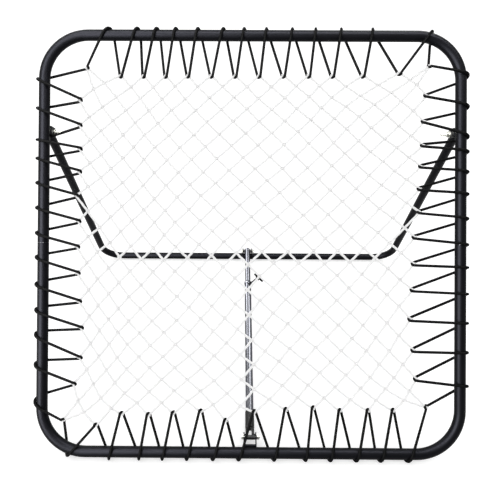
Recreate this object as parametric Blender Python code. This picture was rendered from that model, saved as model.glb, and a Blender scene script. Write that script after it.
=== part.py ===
"""Soccer rebounder: a square tube frame that leans back on a U-shaped rear leg.

A diamond mesh net is laced inside the frame with elastic cord. A telescopic strut runs along the ground
from the bottom tube to the rear leg and sets the lean. Metres, +Z up. The ball comes from -Y, the rear leg
is at +Y, +X is to the right of someone facing the net. The origin is on the ground under the middle of
the whole rebounder, and the footprint empty carries everything to it.

The frame pieces are modelled upright, as children of frame_lean: there x runs along the bottom tube,
y points behind the net and z runs up the frame from the bottom tube's centre. The other places, such as
BAR_BACK, are measured back from under the bottom tube's centre.
"""

import math

import bmesh
import bpy
import numpy as np
from mathutils import Matrix, Vector

# Driving dimensions
LEAN = math.radians(52)
TUBE_RADIUS = 0.016
TUBE_WALL = 0.0015
FRAME_HALF = 0.604
CORNER_RADIUS = 0.127
TUBE_HEIGHT = 0.0217
JOINT_SLEEVE_HALF = 0.045
FOOTPRINT_MIDDLE = 0.4487
GAP = 0.0003
CUTTER_REACH = 0.1

# Net and lacing
NET_CELLS = 11
NET_HALF = 0.484
NET_CORNER = 0.506
STRAND_HALF_WIDTH = 0.0022
STRAND_HALF_THICKNESS = 0.0016
CORD_RADIUS = 0.003
WRAP_RADIUS = 0.0206
WRAP_END_ANGLE = math.radians(97.5)
WRAP_POINTS = 6
WRAP_ADVANCE = 0.020
WRAP_SHARE = 0.66
WRAP_SHARE_BELOW_BRACKET = 0.28
TURN_RADIUS = 0.0052
TURN_INSIDE_EDGE = 0.0032
TURN_INSIDE_CORNER = 0.0185
TURN_ANGLES = [math.radians(a) for a in (67.5, 22.5, -22.5, -67.5)]

# Rear leg and its two side pivots
PIVOT_UP = 0.932
PIVOT_BACK = 0.040
LEG_RADIUS = 0.013
LEG_WALL = 0.0015
LEG_BEND = 0.075
LEG_TOP = 0.013
BAR_BACK = 0.908
PLATE = 0.003
BRACKET_LENGTH = 0.034
BRACKET_GAP = 0.001
BRACKET_BED = 0.72
EAR_SHARE = 0.8
PLUG_DEPTH = 0.006
PLUG_HEAD = 0.004

# Fasteners: hexagon and washer sizes go with the bolt's radius
BOLT_RADIUS = 0.005
FOOT_BOLT_RADIUS = 0.005
SMALL_BOLT_RADIUS = 0.004
HEXAGON = 1.75
HEAD_HEIGHT = 1.3
NUT_HEIGHT = 1.6
WASHER_WIDTH = 2.0
WASHER_THICKNESS = 0.0015
PIVOT_BOLT_TAIL = 0.026
SMALL_BOLT_TAIL = 0.010

# Telescopic strut
STRUT_PIVOT_BACK = 0.051
STRUT_PIVOT_HEIGHT = 0.0224
EAR_RISE = 0.027
EAR_RADIUS = 0.013
OUTER_RADIUS = 0.012
OUTER_WALL = 0.0013
OUTER_END = 0.662
INNER_RADIUS = 0.010
INNER_WALL = 0.0015
INNER_START = 0.430
SLEEVE_RADIUS = 0.0138
SLEEVE_END = 0.084
SLEEVE_START = 0.0275
SOCKET_FLOOR = 0.030
FOOT_EYE_RADIUS = 0.0085
CHEEK_WIDTH = 0.013
CHEEK_THICKNESS = 0.0075
SLOT_RADIUS = 0.005
SLOT_START = 0.001
SLOT_END = 0.026
LOWER_EAR_OUT = 0.019
UPPER_EAR_OUT = 0.020
TIP_BUSH_RADIUS = 0.0072
TIP_HOLE_RADIUS = 0.0058
TIP_TUBE_PAST_PIVOT = 0.009
TIP_PLUG_REACH = 0.032
TIP_CAP_LENGTH = 0.003
EYE_SIDE_GAP = 0.0006
COLLAR_LENGTH = 0.006
COLLAR_LIP = 0.003
CHAMFER = 0.002
BOSS_RADIUS = 0.0078
BOSS_RISE = 0.009
CLAMP_AT = 0.645
CLAMP_TURN = math.radians(42)
CLAMP_RISE = 0.071
CLAMP_SCREW_RADIUS = 0.005
CLAMP_BAR_LENGTH = 0.044
CLAMP_BAR_TURN = math.radians(75)
CLAMP_BAR_RADIUS = 0.0055
CLAMP_BAR_DOWN = 0.009
CLAMP_HEAD_RADIUS = 0.009
CLAMP_HEAD_LENGTH = 0.018

# Sides of round pieces
FRAME_SIDES = 16
LEG_SIDES = 12
SMALL_SIDES = 12
BED_SIDES = 32
CORD_SIDES = 6
ARC_STEP = math.radians(15)


def clear_scene():
    for obj in list(bpy.data.objects):
        bpy.data.objects.remove(obj, do_unlink=True)


def make_material(name, colour, roughness, metallic):
    """colour is linear RGB."""
    material = bpy.data.materials.new(name)
    material.use_nodes = True
    shader = material.node_tree.nodes["Principled BSDF"]
    shader.inputs["Base Color"].default_value = (*colour, 1)
    shader.inputs["Roughness"].default_value = roughness
    shader.inputs["Metallic"].default_value = metallic
    return material


def make_empty(name, matrix, parent=None):
    """matrix is in the parent's space."""
    empty = bpy.data.objects.new(name, None)
    empty.empty_display_size = 0.05
    empty.matrix_basis = matrix
    empty.parent = parent
    bpy.context.scene.collection.objects.link(empty)
    return empty


def add_object(name, mesh, material, parent=None, matrix=None, crease=40):
    """Links a mesh as an object, smooth on its round faces and sharp past the crease angle in degrees."""
    mesh.materials.clear()
    mesh.materials.append(material)
    mesh.shade_smooth()
    mesh.set_sharp_from_angle(angle=math.radians(crease))
    obj = bpy.data.objects.new(name, mesh)
    obj.parent = parent
    obj.matrix_basis = matrix or Matrix()
    bpy.context.scene.collection.objects.link(obj)
    return obj


def mesh_of(bm, name):
    """The closed shape as a mesh that faces outwards."""
    bmesh.ops.recalc_face_normals(bm, faces=bm.faces)
    if bm.calc_volume(signed=True) < 0:
        bmesh.ops.reverse_faces(bm, faces=bm.faces)
    mesh = bpy.data.meshes.new(name)
    bm.to_mesh(mesh)
    bm.free()
    return mesh


def along_x(at=(0, 0, 0)):
    """Turns a shape made along Z to lie along X, with its +Z end at +X."""
    return Matrix.Translation(at) @ Matrix.Rotation(math.pi / 2, 4, "Y")


def along_y(at=(0, 0, 0)):
    """Turns a shape made along Z to lie along Y, with its +Z end at +Y."""
    return Matrix.Translation(at) @ Matrix.Rotation(-math.pi / 2, 4, "X")


def turned(name, profile, sides, place=None):
    """A closed profile of (radius, height) points spun about Z, then placed."""
    bm = bmesh.new()
    corners = [bm.verts.new((radius, 0, height)) for radius, height in profile]
    rim = [bm.edges.new((a, b)) for a, b in zip(corners, corners[1:] + corners[:1])]
    bmesh.ops.spin(
        bm, geom=corners + rim, cent=(0, 0, 0), axis=(0, 0, 1), angle=2 * math.pi, steps=sides,
        use_merge=True,
    )
    bmesh.ops.remove_doubles(bm, verts=bm.verts, dist=1e-6)
    loose = [edge for edge in bm.edges if not edge.link_faces]
    bmesh.ops.delete(bm, geom=loose, context="EDGES")
    bm.transform(place or Matrix())
    return mesh_of(bm, name)


def rod(name, radius, low, high, sides, place=None):
    """A round or hexagonal bar along Z from low to high."""
    bm = bmesh.new()
    middle = Matrix.Translation((0, 0, (low + high) / 2))
    bmesh.ops.create_cone(
        bm, cap_ends=True, segments=sides, radius1=radius, radius2=radius, depth=high - low, matrix=middle
    )
    bm.transform(place or Matrix())
    return mesh_of(bm, name)


def tube_profile(outer, inner, low, high):
    return [(inner, low), (outer, low), (outer, high), (inner, high)]


def swept(name, points, radius, sides, caps):
    """A tube of points along an open poly line. sides is even, and caps closes both ends."""
    curve = bpy.data.curves.new(name, "CURVE")
    curve.dimensions = "3D"
    curve.bevel_depth = radius
    curve.bevel_resolution = sides // 2 - 2
    curve.use_fill_caps = caps
    spline = curve.splines.new("POLY")
    spline.points.add(len(points) - 1)
    for point, place in zip(spline.points, points):
        point.co = (*place, 1)
    guide = bpy.data.objects.new(name, curve)
    mesh = bpy.data.meshes.new_from_object(guide)
    bpy.data.objects.remove(guide)
    bpy.data.curves.remove(curve)
    mesh.name = name
    return mesh


def arc(centre, radius, start, end):
    """Points of an arc in the XZ plane, angles from +X towards +Z, both ends included."""
    steps = max(1, round(abs(end - start) / ARC_STEP))
    return [
        Vector((centre[0] + radius * math.cos(a), 0, centre[1] + radius * math.sin(a)))
        for a in (start + (end - start) * i / steps for i in range(steps + 1))
    ]


def hollow(obj, wall):
    """Gives an open tube surface its wall, inwards, with the ends closed as rings."""
    thicken = obj.modifiers.new("wall", "SOLIDIFY")
    thicken.thickness = wall
    thicken.offset = -1
    thicken.use_even_offset = True


def boolean(obj, mesh, operation, label):
    """Cuts or joins a helper mesh, given in the object's own space."""
    helper = bpy.data.objects.new(f"{obj.name}_{label}", mesh)
    helper.parent = obj.parent
    helper.matrix_basis = obj.matrix_basis
    helper.hide_render = True
    helper.display_type = "WIRE"
    bpy.context.scene.collection.objects.link(helper)
    modifier = obj.modifiers.new(label, "BOOLEAN")
    modifier.operation = operation
    modifier.solver = "EXACT"
    modifier.object = helper


def rounded_plate(name, thickness, half_width, foot, round_at, place=None):
    """A plate in the YZ plane, thick along X: square at y = foot, rounded about (0, round_at)."""
    bm = bmesh.new()
    outline = [(foot, -half_width), (round_at, -half_width)]
    outline += [
        (round_at + half_width * math.cos(a), half_width * math.sin(a))
        for a in (math.radians(d) for d in range(-60, 61, 30))
    ]
    outline += [(round_at, half_width), (foot, half_width)]
    face = bm.faces.new([bm.verts.new((-thickness / 2, y, z)) for y, z in outline])
    wall = bmesh.ops.extrude_face_region(bm, geom=[face])["geom"]
    moved = [element for element in wall if isinstance(element, bmesh.types.BMVert)]
    bmesh.ops.translate(bm, verts=moved, vec=(thickness, 0, 0))
    bm.transform(place or Matrix())
    return mesh_of(bm, name)


def block(name, low, high):
    bm = bmesh.new()
    size = Vector(high) - Vector(low)
    place = Matrix.Translation((Vector(low) + Vector(high)) / 2) @ Matrix.Diagonal((*size, 1))
    bmesh.ops.create_cube(bm, size=1, matrix=place)
    return mesh_of(bm, name)


def bore_cutter(radius, at, sides=SMALL_SIDES):
    """A long rod along X through a point, to cut a hole."""
    return rod("bore", radius, -CUTTER_REACH, CUTTER_REACH, sides, along_x(at))


def hex_bolt(name, radius, shank, material, parent, matrix):
    """A bolt along X: hexagon head at -X, seat at x = 0, shank towards +X."""
    head = rod(name, radius * HEXAGON, -radius * HEAD_HEIGHT, 0, 6, along_x())
    bolt = add_object(name, head, material, parent, matrix)
    core = rod(f"{name}_shank", radius, -radius, shank, SMALL_SIDES, along_x())
    boolean(bolt, core, "UNION", "shank")
    return bolt


def hex_nut(name, radius, material, parent, matrix):
    """A nut along X with its seat at x = 0, clear of the bolt by the gap."""
    height = radius * NUT_HEIGHT
    body = rod(name, radius * HEXAGON, 0, height, 6, along_x())
    nut = add_object(name, body, material, parent, matrix)
    bore = rod(f"{name}_bore", radius + GAP, -height, 2 * height, SMALL_SIDES, along_x())
    boolean(nut, bore, "DIFFERENCE", "bore")
    return nut


def washer(name, radius, material, parent, matrix):
    ring = tube_profile(radius * WASHER_WIDTH, radius + GAP, 0, WASHER_THICKNESS)
    return add_object(name, turned(name, ring, SMALL_SIDES, along_x()), material, parent, matrix)


# Frame

def frame_half_points(upper):
    """Centre line of one half of the frame, from the middle of one side, round two corners, to the other."""
    straight = FRAME_HALF - CORNER_RADIUS
    left = arc((-straight, straight), CORNER_RADIUS, math.pi, math.pi / 2)
    right = arc((straight, straight), CORNER_RADIUS, math.pi / 2, 0)
    start = Vector((-FRAME_HALF, 0, GAP / 2))
    end = Vector((FRAME_HALF, 0, GAP / 2))
    points = [start, *left, *right, end]
    flip = 1 if upper else -1
    return [Vector((p.x, 0, FRAME_HALF + flip * p.z)) for p in points]


def build_frame(lean, steel, plain_steel):
    for name, upper in (("frame_lower_half", False), ("frame_upper_half", True)):
        mesh = swept(name, frame_half_points(upper), TUBE_RADIUS, FRAME_SIDES, caps=False)
        hollow(add_object(name, mesh, steel, lean), TUBE_WALL)
    fit = TUBE_RADIUS - TUBE_WALL - 2 * GAP
    for side, name in ((-1, "left_joint_sleeve"), (1, "right_joint_sleeve")):
        ring = tube_profile(fit, fit - TUBE_WALL, -JOINT_SLEEVE_HALF, JOINT_SLEEVE_HALF)
        place = Matrix.Translation((side * FRAME_HALF, 0, FRAME_HALF))
        add_object(name, turned(name, ring, FRAME_SIDES, place), plain_steel, lean)


# Net

def net_point(a, b):
    """Lattice corner (a, b) in half cells from the lower left. Corner strands gather in one knot."""
    last = 2 * NET_CELLS
    low = {(0, 1), (1, 0)}
    knots = {}
    for flip_x in (False, True):
        for flip_z in (False, True):
            for i, j in low:
                spot = (last - i if flip_x else i, last - j if flip_z else j)
                knots[spot] = ((1 if flip_x else -1) * NET_CORNER, (1 if flip_z else -1) * NET_CORNER)
    cell = NET_HALF / NET_CELLS
    x, z = knots.get((a, b), (a * cell - NET_HALF, b * cell - NET_HALF))
    return x, FRAME_HALF + z


def outset(vert, width):
    """How far a corner on the net's edge moves for a strand's outer half: both edges move out by width."""
    normals = []
    for edge in (e for e in vert.link_edges if e.is_boundary):
        along = (edge.verts[1].co - edge.verts[0].co).normalized()
        across = Vector((along.z, 0, -along.x))
        outwards = (edge.verts[0].co + edge.verts[1].co) / 2 - edge.link_faces[0].calc_center_median()
        normals.append(across if across.dot(outwards) > 0 else -across)
    return (normals[0] + normals[1]) * (width / (1 + normals[0].dot(normals[1])))


def net_mesh(name):
    """Strands with a lozenge section: ridges on the lattice lines, edges in the net's plane."""
    bm = bmesh.new()
    corners = {}
    last = 2 * NET_CELLS
    for a in range(1, last):
        for b in range(1, last):
            if a % 2 != b % 2:
                continue
            ring = []
            for spot in ((a - 1, b), (a, b - 1), (a + 1, b), (a, b + 1)):
                place = net_point(*spot)
                if place not in corners:
                    corners[place] = bm.verts.new((place[0], 0, place[1]))
                if corners[place] not in ring:
                    ring.append(corners[place])
            bm.faces.new(ring)
    cells = list(bm.faces)
    ridge = set(bm.verts)
    shifts = {vert: outset(vert, STRAND_HALF_WIDTH) for vert in bm.verts if vert.is_boundary}
    rim = [edge for edge in bm.edges if edge.is_boundary]
    grown = bmesh.ops.extrude_edge_only(bm, edges=rim)["geom"]
    for vert in (element for element in grown if isinstance(element, bmesh.types.BMVert)):
        source = next(e.other_vert(vert) for e in vert.link_edges if e.other_vert(vert) in shifts)
        vert.co += shifts[source]
    bmesh.ops.inset_individual(bm, faces=cells, thickness=STRAND_HALF_WIDTH, use_even_offset=True)
    bmesh.ops.delete(bm, geom=cells, context="FACES_ONLY")
    for vert in ridge:
        vert.co.y = -STRAND_HALF_THICKNESS
    copied = bmesh.ops.duplicate(bm, geom=bm.verts[:] + bm.edges[:] + bm.faces[:])["geom"]
    for vert in (element for element in copied if isinstance(element, bmesh.types.BMVert)):
        vert.co.y = -vert.co.y
    bmesh.ops.remove_doubles(bm, verts=bm.verts, dist=1e-5)
    return mesh_of(bm, name)


# Elastic lacing

BACK = Vector((0, 1, 0))
CENTRE = Vector((0, 0, FRAME_HALF))


def wrap_points(along, outward, at):
    """Once round the tube, from the front over the outer edge to the back, moving on along the tube."""
    axis = CENTRE + outward * FRAME_HALF
    points = []
    for i in range(WRAP_POINTS):
        share = i / (WRAP_POINTS - 1)
        angle = WRAP_END_ANGLE * (2 * share - 1)
        ring = outward * math.cos(angle) + BACK * math.sin(angle)
        points.append(axis + along * (at + WRAP_ADVANCE * (share - 0.5)) + ring * WRAP_RADIUS)
    return points


def turn_points(apex, inward, inside):
    """Half a turn through the net's edge, from behind the net to its front, centred inside the apex."""
    return [
        apex + inward * (inside + TURN_RADIUS * math.cos(a)) + BACK * (TURN_RADIUS * math.sin(a))
        for a in TURN_ANGLES
    ]


def side_points(along, outward, bracket_at):
    """One side's lacing: a turn in its first corner knot, then a wrap and a turn for each loop."""
    pitch = 2 * NET_HALF / NET_CELLS
    corner = CENTRE + (outward - along) * NET_CORNER
    apexes = [(k - (NET_CELLS - 1) / 2) * pitch for k in range(1, NET_CELLS - 1)]
    points = turn_points(corner, (along - outward).normalized(), TURN_INSIDE_CORNER)
    for position in [apexes[0] - pitch, *apexes]:
        if position in apexes:
            apex = CENTRE + along * position + outward * NET_HALF
            points += turn_points(apex, -outward, TURN_INSIDE_EDGE)
        wrap_at = position + pitch * WRAP_SHARE
        if bracket_at is not None and abs(wrap_at - bracket_at) < BRACKET_LENGTH:
            wrap_at = position + pitch * WRAP_SHARE_BELOW_BRACKET
        points += wrap_points(along, outward, wrap_at)
    return points


def lacing_routes():
    """The four sides' routes in the order that the cord runs, clockwise from the top left corner.

    Each one starts and ends on the straight run into a corner knot, where it meets the next side's end.
    """
    x, z = Vector((1, 0, 0)), Vector((0, 0, 1))
    pivot = PIVOT_UP - FRAME_HALF
    routes = {
        "lacing_top": side_points(x, z, None),
        "lacing_right": side_points(-z, x, -pivot),
        "lacing_bottom": side_points(-x, -z, 0),
        "lacing_left": side_points(z, -x, pivot),
    }
    names = list(routes)
    firsts = [routes[name][0] for name in names]
    lasts = [routes[name][-1] for name in names]
    lead = 4 * CORD_RADIUS
    for i, name in enumerate(names):
        following = firsts[(i + 1) % 4]
        arriving = (firsts[i] - lasts[i - 1]).normalized()
        leaving = (following - lasts[i]).normalized()
        start = firsts[i] - arriving * lead
        end = following - leaving * (lead + GAP)
        routes[name] = [start, *routes[name], end]
    return routes


def least_gap(route):
    """Least space between two stretches of a route over four diameters apart along the cord."""
    step = CORD_RADIUS / 2
    dense = []
    for a, b in zip(route, route[1:]):
        count = max(1, int((b - a).length / step))
        dense += [a + (b - a) * (i / count) for i in range(count)]
    spots = np.array(dense)
    walked = np.concatenate([[0], np.cumsum(np.linalg.norm(np.diff(spots, axis=0), axis=1))])
    least = math.inf
    for i in range(len(spots)):
        far = walked > walked[i] + 8 * CORD_RADIUS
        if far.any():
            least = min(least, np.linalg.norm(spots[far] - spots[i], axis=1).min())
    return least - 2 * CORD_RADIUS


def build_lacing(lean, elastic):
    for name, route in lacing_routes().items():
        print(f"{name}: {least_gap(route) * 1000:.1f} mm least gap to itself")
        cord = add_object(name, swept(name, route, CORD_RADIUS, CORD_SIDES, caps=True), elastic, lean)
        if name == "lacing_bottom":
            # The frame stands on this cord, which the ground presses flat.
            ground = block("ground", (-1, -CUTTER_REACH, -CUTTER_REACH), (1, CUTTER_REACH, 0))
            ground.transform(frame_matrix().inverted())
            boolean(cord, ground, "DIFFERENCE", "ground_flat")


# Places

def frame_matrix():
    return Matrix.Translation((0, 0, TUBE_HEIGHT)) @ Matrix.Rotation(LEAN - math.pi / 2, 4, "X")


def pivot_place():
    return frame_matrix() @ Vector((0, PIVOT_BACK, PIVOT_UP))


def bar_place():
    return Vector((0, BAR_BACK, LEG_RADIUS))


def leg_matrix():
    """At the side pivots, with -Z along the leg."""
    reach = bar_place() - pivot_place()
    return Matrix.Translation(pivot_place()) @ Matrix.Rotation(math.atan2(reach.y, -reach.z), 4, "X")


def tip_place():
    return bar_place() + Vector((0, 0, EAR_RISE))


def strut_matrix():
    """At the strut's lower pivot, with +Y along the strut."""
    pivot = Vector((0, STRUT_PIVOT_BACK, STRUT_PIVOT_HEIGHT))
    reach = tip_place() - pivot
    return Matrix.Translation(pivot) @ Matrix.Rotation(math.atan2(reach.z, reach.y), 4, "X")


def strut_length():
    return (tip_place() - Vector((0, STRUT_PIVOT_BACK, STRUT_PIVOT_HEIGHT))).length


# Side pivots

def saddle_bracket(name, half_width, back, foot, material, parent, matrix):
    """Two ears along +Y and a web, bedded on a frame tube that runs along Z at the origin."""
    half_length = BRACKET_LENGTH / 2
    web = block(name, (-half_width, foot, -half_length), (half_width, foot + 2 * PLATE, half_length))
    bracket = add_object(name, web, material, parent, matrix)
    for side in (-1, 1):
        at = Matrix.Translation((side * (half_width - PLATE / 2), 0, 0))
        ear = rounded_plate(f"{name}_ear", PLATE, half_length * EAR_SHARE, foot + PLATE, back, at)
        boolean(bracket, ear, "UNION", f"ear{side}")
    tube = rod(f"{name}_tube", TUBE_RADIUS + GAP, -CUTTER_REACH, CUTTER_REACH, BED_SIDES)
    boolean(bracket, tube, "DIFFERENCE", "tube")
    boolean(bracket, bore_cutter(BOLT_RADIUS + GAP, (0, back, 0)), "DIFFERENCE", "bore")


def build_side_pivots(lean, steel, zinc):
    half_width = LEG_RADIUS + BRACKET_GAP + PLATE
    for side, word in ((-1, "left"), (1, "right")):
        at = Matrix.Translation((side * FRAME_HALF, 0, PIVOT_UP))
        name = f"{word}_pivot_bracket"
        saddle_bracket(name, half_width, PIVOT_BACK, TUBE_RADIUS * BRACKET_BED, steel, lean, at)
        # The head is outside and the nut on the net's side.
        inwards = Matrix.Rotation(math.pi if side > 0 else 0, 4, "Z")
        axis = Matrix.Translation((side * FRAME_HALF, PIVOT_BACK, PIVOT_UP)) @ inwards
        seat = half_width + GAP
        shank = 2 * seat + PIVOT_BOLT_TAIL
        head = axis @ Matrix.Translation((-seat, 0, 0))
        hex_bolt(f"{word}_pivot_bolt", BOLT_RADIUS, shank, zinc, lean, head)
        ring = axis @ Matrix.Translation((seat, 0, 0))
        washer(f"{word}_pivot_washer", BOLT_RADIUS, zinc, lean, ring)
        nut = ring @ Matrix.Translation((WASHER_THICKNESS + GAP, 0, 0))
        hex_nut(f"{word}_pivot_nut", BOLT_RADIUS, zinc, lean, nut)


# Rear leg

def build_leg(swing, steel, plastic, zinc):
    length = (bar_place() - pivot_place()).length
    straight = FRAME_HALF - LEG_BEND
    left = arc((-straight, LEG_BEND - length), LEG_BEND, math.pi, 1.5 * math.pi)
    right = arc((straight, LEG_BEND - length), LEG_BEND, 1.5 * math.pi, 2 * math.pi)
    points = [Vector((-FRAME_HALF, 0, LEG_TOP)), *left, *right, Vector((FRAME_HALF, 0, LEG_TOP))]
    leg = add_object("rear_leg", swept("rear_leg", points, LEG_RADIUS, LEG_SIDES, caps=False), steel, swing)
    hollow(leg, LEG_WALL)
    for side, word in ((-1, "left"), (1, "right")):
        bore = bore_cutter(BOLT_RADIUS + GAP, (side * FRAME_HALF, 0, 0))
        boolean(leg, bore, "DIFFERENCE", f"{word}_bore")
        stem = LEG_RADIUS - LEG_WALL - GAP
        profile = [(0, -PLUG_DEPTH), (stem, -PLUG_DEPTH), (stem, GAP), (LEG_RADIUS, GAP)]
        profile += [(LEG_RADIUS - CHAMFER, PLUG_HEAD * 0.75), (0, PLUG_HEAD)]
        place = Matrix.Translation((side * FRAME_HALF, 0, LEG_TOP))
        name = f"{word}_leg_plug"
        add_object(name, turned(name, profile, SMALL_SIDES, place), plastic, swing)
    build_ears(swing, steel, zinc)


def build_ears(swing, steel, zinc):
    """Two upright ears on the rear bar and the bolt that passes through the strut's tip."""
    to_leg = leg_matrix().inverted()
    for side, word in ((-1, "left"), (1, "right")):
        name = f"{word}_bar_ear"
        upright = Matrix.Rotation(math.pi / 2, 4, "X")
        at = Matrix.Translation((side * (UPPER_EAR_OUT - PLATE / 2), 0, 0)) @ upright
        plate = rounded_plate(name, PLATE, EAR_RADIUS, LEG_RADIUS / 2, EAR_RISE, at)
        place = to_leg @ Matrix.Translation(bar_place())
        ear = add_object(name, plate, steel, swing, place)
        boolean(ear, bore_cutter(LEG_RADIUS + GAP, (0, 0, 0), BED_SIDES), "DIFFERENCE", "bar")
        boolean(ear, bore_cutter(SMALL_BOLT_RADIUS + GAP, (0, 0, EAR_RISE)), "DIFFERENCE", "bore")
    axis = to_leg @ Matrix.Translation(tip_place())
    seat = UPPER_EAR_OUT + GAP
    bolt = axis @ Matrix.Translation((-seat, 0, 0))
    hex_bolt("tip_bolt", SMALL_BOLT_RADIUS, 2 * seat + SMALL_BOLT_TAIL, zinc, swing, bolt)
    hex_nut("tip_nut", SMALL_BOLT_RADIUS, zinc, swing, axis @ Matrix.Translation((seat, 0, 0)))


# Strut

def build_strut_bracket(lean, steel, zinc):
    """Ears that point straight back along the ground from the bottom tube."""
    level = frame_matrix().inverted() @ Matrix.Translation((0, 0, STRUT_PIVOT_HEIGHT))
    half_length = BRACKET_LENGTH / 2 * EAR_SHARE
    foot = TUBE_RADIUS * EAR_SHARE
    low = (-LOWER_EAR_OUT, foot, -half_length)
    high = (LOWER_EAR_OUT, foot + 2 * PLATE, half_length)
    bracket = add_object("strut_bracket", block("strut_bracket", low, high), steel, lean, level)
    for side in (-1, 1):
        at = Matrix.Translation((side * (LOWER_EAR_OUT - PLATE / 2), 0, 0))
        ear = rounded_plate("ear", PLATE, half_length, foot + PLATE, STRUT_PIVOT_BACK, at)
        boolean(bracket, ear, "UNION", f"ear{side}")
    tube_centre = (0, 0, TUBE_HEIGHT - STRUT_PIVOT_HEIGHT)
    boolean(bracket, bore_cutter(TUBE_RADIUS + GAP, tube_centre, BED_SIDES), "DIFFERENCE", "tube")
    pivot = (0, STRUT_PIVOT_BACK, 0)
    boolean(bracket, bore_cutter(FOOT_BOLT_RADIUS + GAP, pivot), "DIFFERENCE", "bore")
    axis = level @ Matrix.Translation(pivot)
    seat = LOWER_EAR_OUT + GAP
    head = axis @ Matrix.Translation((-seat, 0, 0))
    hex_bolt("foot_bolt", FOOT_BOLT_RADIUS, 2 * seat + SMALL_BOLT_TAIL, zinc, lean, head)
    hex_nut("foot_nut", FOOT_BOLT_RADIUS, zinc, lean, axis @ Matrix.Translation((seat, 0, 0)))


def clamp_matrix():
    """At the middle of the strut, with +Z out along the clamp's screw."""
    return Matrix.Translation((0, CLAMP_AT, 0)) @ Matrix.Rotation(CLAMP_TURN, 4, "Y")


def build_outer_strut(tilt, zinc, plastic, steel):
    name = "strut_outer_tube"
    tube = tube_profile(OUTER_RADIUS, OUTER_RADIUS - OUTER_WALL, SOCKET_FLOOR, OUTER_END)
    outer = add_object(name, turned(name, tube, FRAME_SIDES, along_y()), zinc, tilt)
    # The clamp screw reaches the inner tube through a hole in the wall.
    hole = rod("clamp_hole", CLAMP_SCREW_RADIUS + GAP, 0, CUTTER_REACH, SMALL_SIDES, clamp_matrix())
    boolean(outer, hole, "DIFFERENCE", "clamp_hole")

    name = "strut_foot_fitting"
    floor = SOCKET_FLOOR - GAP
    bore = OUTER_RADIUS + GAP
    profile = [(0, SLEEVE_START), (SLEEVE_RADIUS, SLEEVE_START), (SLEEVE_RADIUS, SLEEVE_END)]
    profile += [(bore, SLEEVE_END), (bore, floor), (0, floor)]
    fitting = add_object(name, turned(name, profile, FRAME_SIDES, along_y()), plastic, tilt)
    # Between the sleeve and the eye the fitting is flat, with a slot through it that ends in an arch.
    reach = (SLEEVE_START + floor) / 2
    flat = block("flat", (-CHEEK_WIDTH, 0, -CHEEK_THICKNESS), (CHEEK_WIDTH, reach, CHEEK_THICKNESS))
    boolean(fitting, flat, "UNION", "flat")
    half_width = LOWER_EAR_OUT - PLATE - EYE_SIDE_GAP
    barrel = rod("barrel", FOOT_EYE_RADIUS, -half_width, half_width, FRAME_SIDES, along_x())
    boolean(fitting, barrel, "UNION", "barrel")
    arch = SLOT_END - SLOT_RADIUS
    slot = block("slot", (-SLOT_RADIUS, SLOT_START, -CUTTER_REACH), (SLOT_RADIUS, arch, CUTTER_REACH))
    boolean(fitting, slot, "DIFFERENCE", "slot")
    at_arch = Matrix.Translation((0, arch, 0))
    boolean(
        fitting, rod("arch", SLOT_RADIUS, -CUTTER_REACH, CUTTER_REACH, FRAME_SIDES, at_arch), "DIFFERENCE",
        "arch",
    )
    boolean(fitting, bore_cutter(FOOT_BOLT_RADIUS + GAP, (0, 0, 0)), "DIFFERENCE", "eye")

    name = "strut_collar"
    lip = INNER_RADIUS + GAP
    inside = OUTER_END + GAP
    end = inside + COLLAR_LIP
    start = OUTER_END - COLLAR_LENGTH
    profile = [(lip, inside), (lip, end), (SLEEVE_RADIUS - CHAMFER / 2, end)]
    profile += [(SLEEVE_RADIUS, end - CHAMFER), (SLEEVE_RADIUS, start), (bore, start), (bore, inside)]
    add_object(name, turned(name, profile, FRAME_SIDES, along_y()), zinc, tilt)

    name = "clamp_boss"
    ring = tube_profile(BOSS_RADIUS, CLAMP_SCREW_RADIUS + GAP, OUTER_RADIUS - PLATE, OUTER_RADIUS + BOSS_RISE)
    boss = add_object(name, turned(name, ring, SMALL_SIDES, clamp_matrix()), steel, tilt)
    at_clamp = along_y((0, CLAMP_AT, 0))
    bed = rod("bed", OUTER_RADIUS + GAP, -CUTTER_REACH, CUTTER_REACH, BED_SIDES, at_clamp)
    boolean(boss, bed, "DIFFERENCE", "bed")


def build_clamp(turn, steel):
    """Screw along Z from the inner tube outwards, with a bar across its end."""
    top = CLAMP_RISE
    low = INNER_RADIUS + 2 * GAP
    shank = rod("clamp_screw", CLAMP_SCREW_RADIUS, low, top, SMALL_SIDES)
    screw = add_object("clamp_screw", shank, steel, turn)
    wide = CLAMP_HEAD_RADIUS
    narrow = wide - CHAMFER / 2
    start = top - CLAMP_HEAD_LENGTH
    profile = [(0, start), (narrow, start), (wide, start + CHAMFER)]
    profile += [(wide, top - CHAMFER), (narrow, top), (0, top)]
    boolean(screw, turned("head", profile, SMALL_SIDES), "UNION", "head")
    reach = CLAMP_BAR_LENGTH / 2
    across = Matrix.Rotation(CLAMP_BAR_TURN, 4, "Z") @ along_y((0, 0, top - CLAMP_BAR_DOWN))
    hole = rod("bar_hole", CLAMP_BAR_RADIUS + GAP, -reach, reach, SMALL_SIDES, across)
    boolean(screw, hole, "DIFFERENCE", "bar_hole")
    wide = CLAMP_BAR_RADIUS
    narrow = wide - CHAMFER / 2
    profile = [(0, -reach), (narrow, -reach), (wide, CHAMFER - reach)]
    profile += [(wide, reach - CHAMFER), (narrow, reach), (0, reach)]
    add_object("clamp_handle", turned("clamp_handle", profile, SMALL_SIDES, across), steel, turn)


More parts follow.
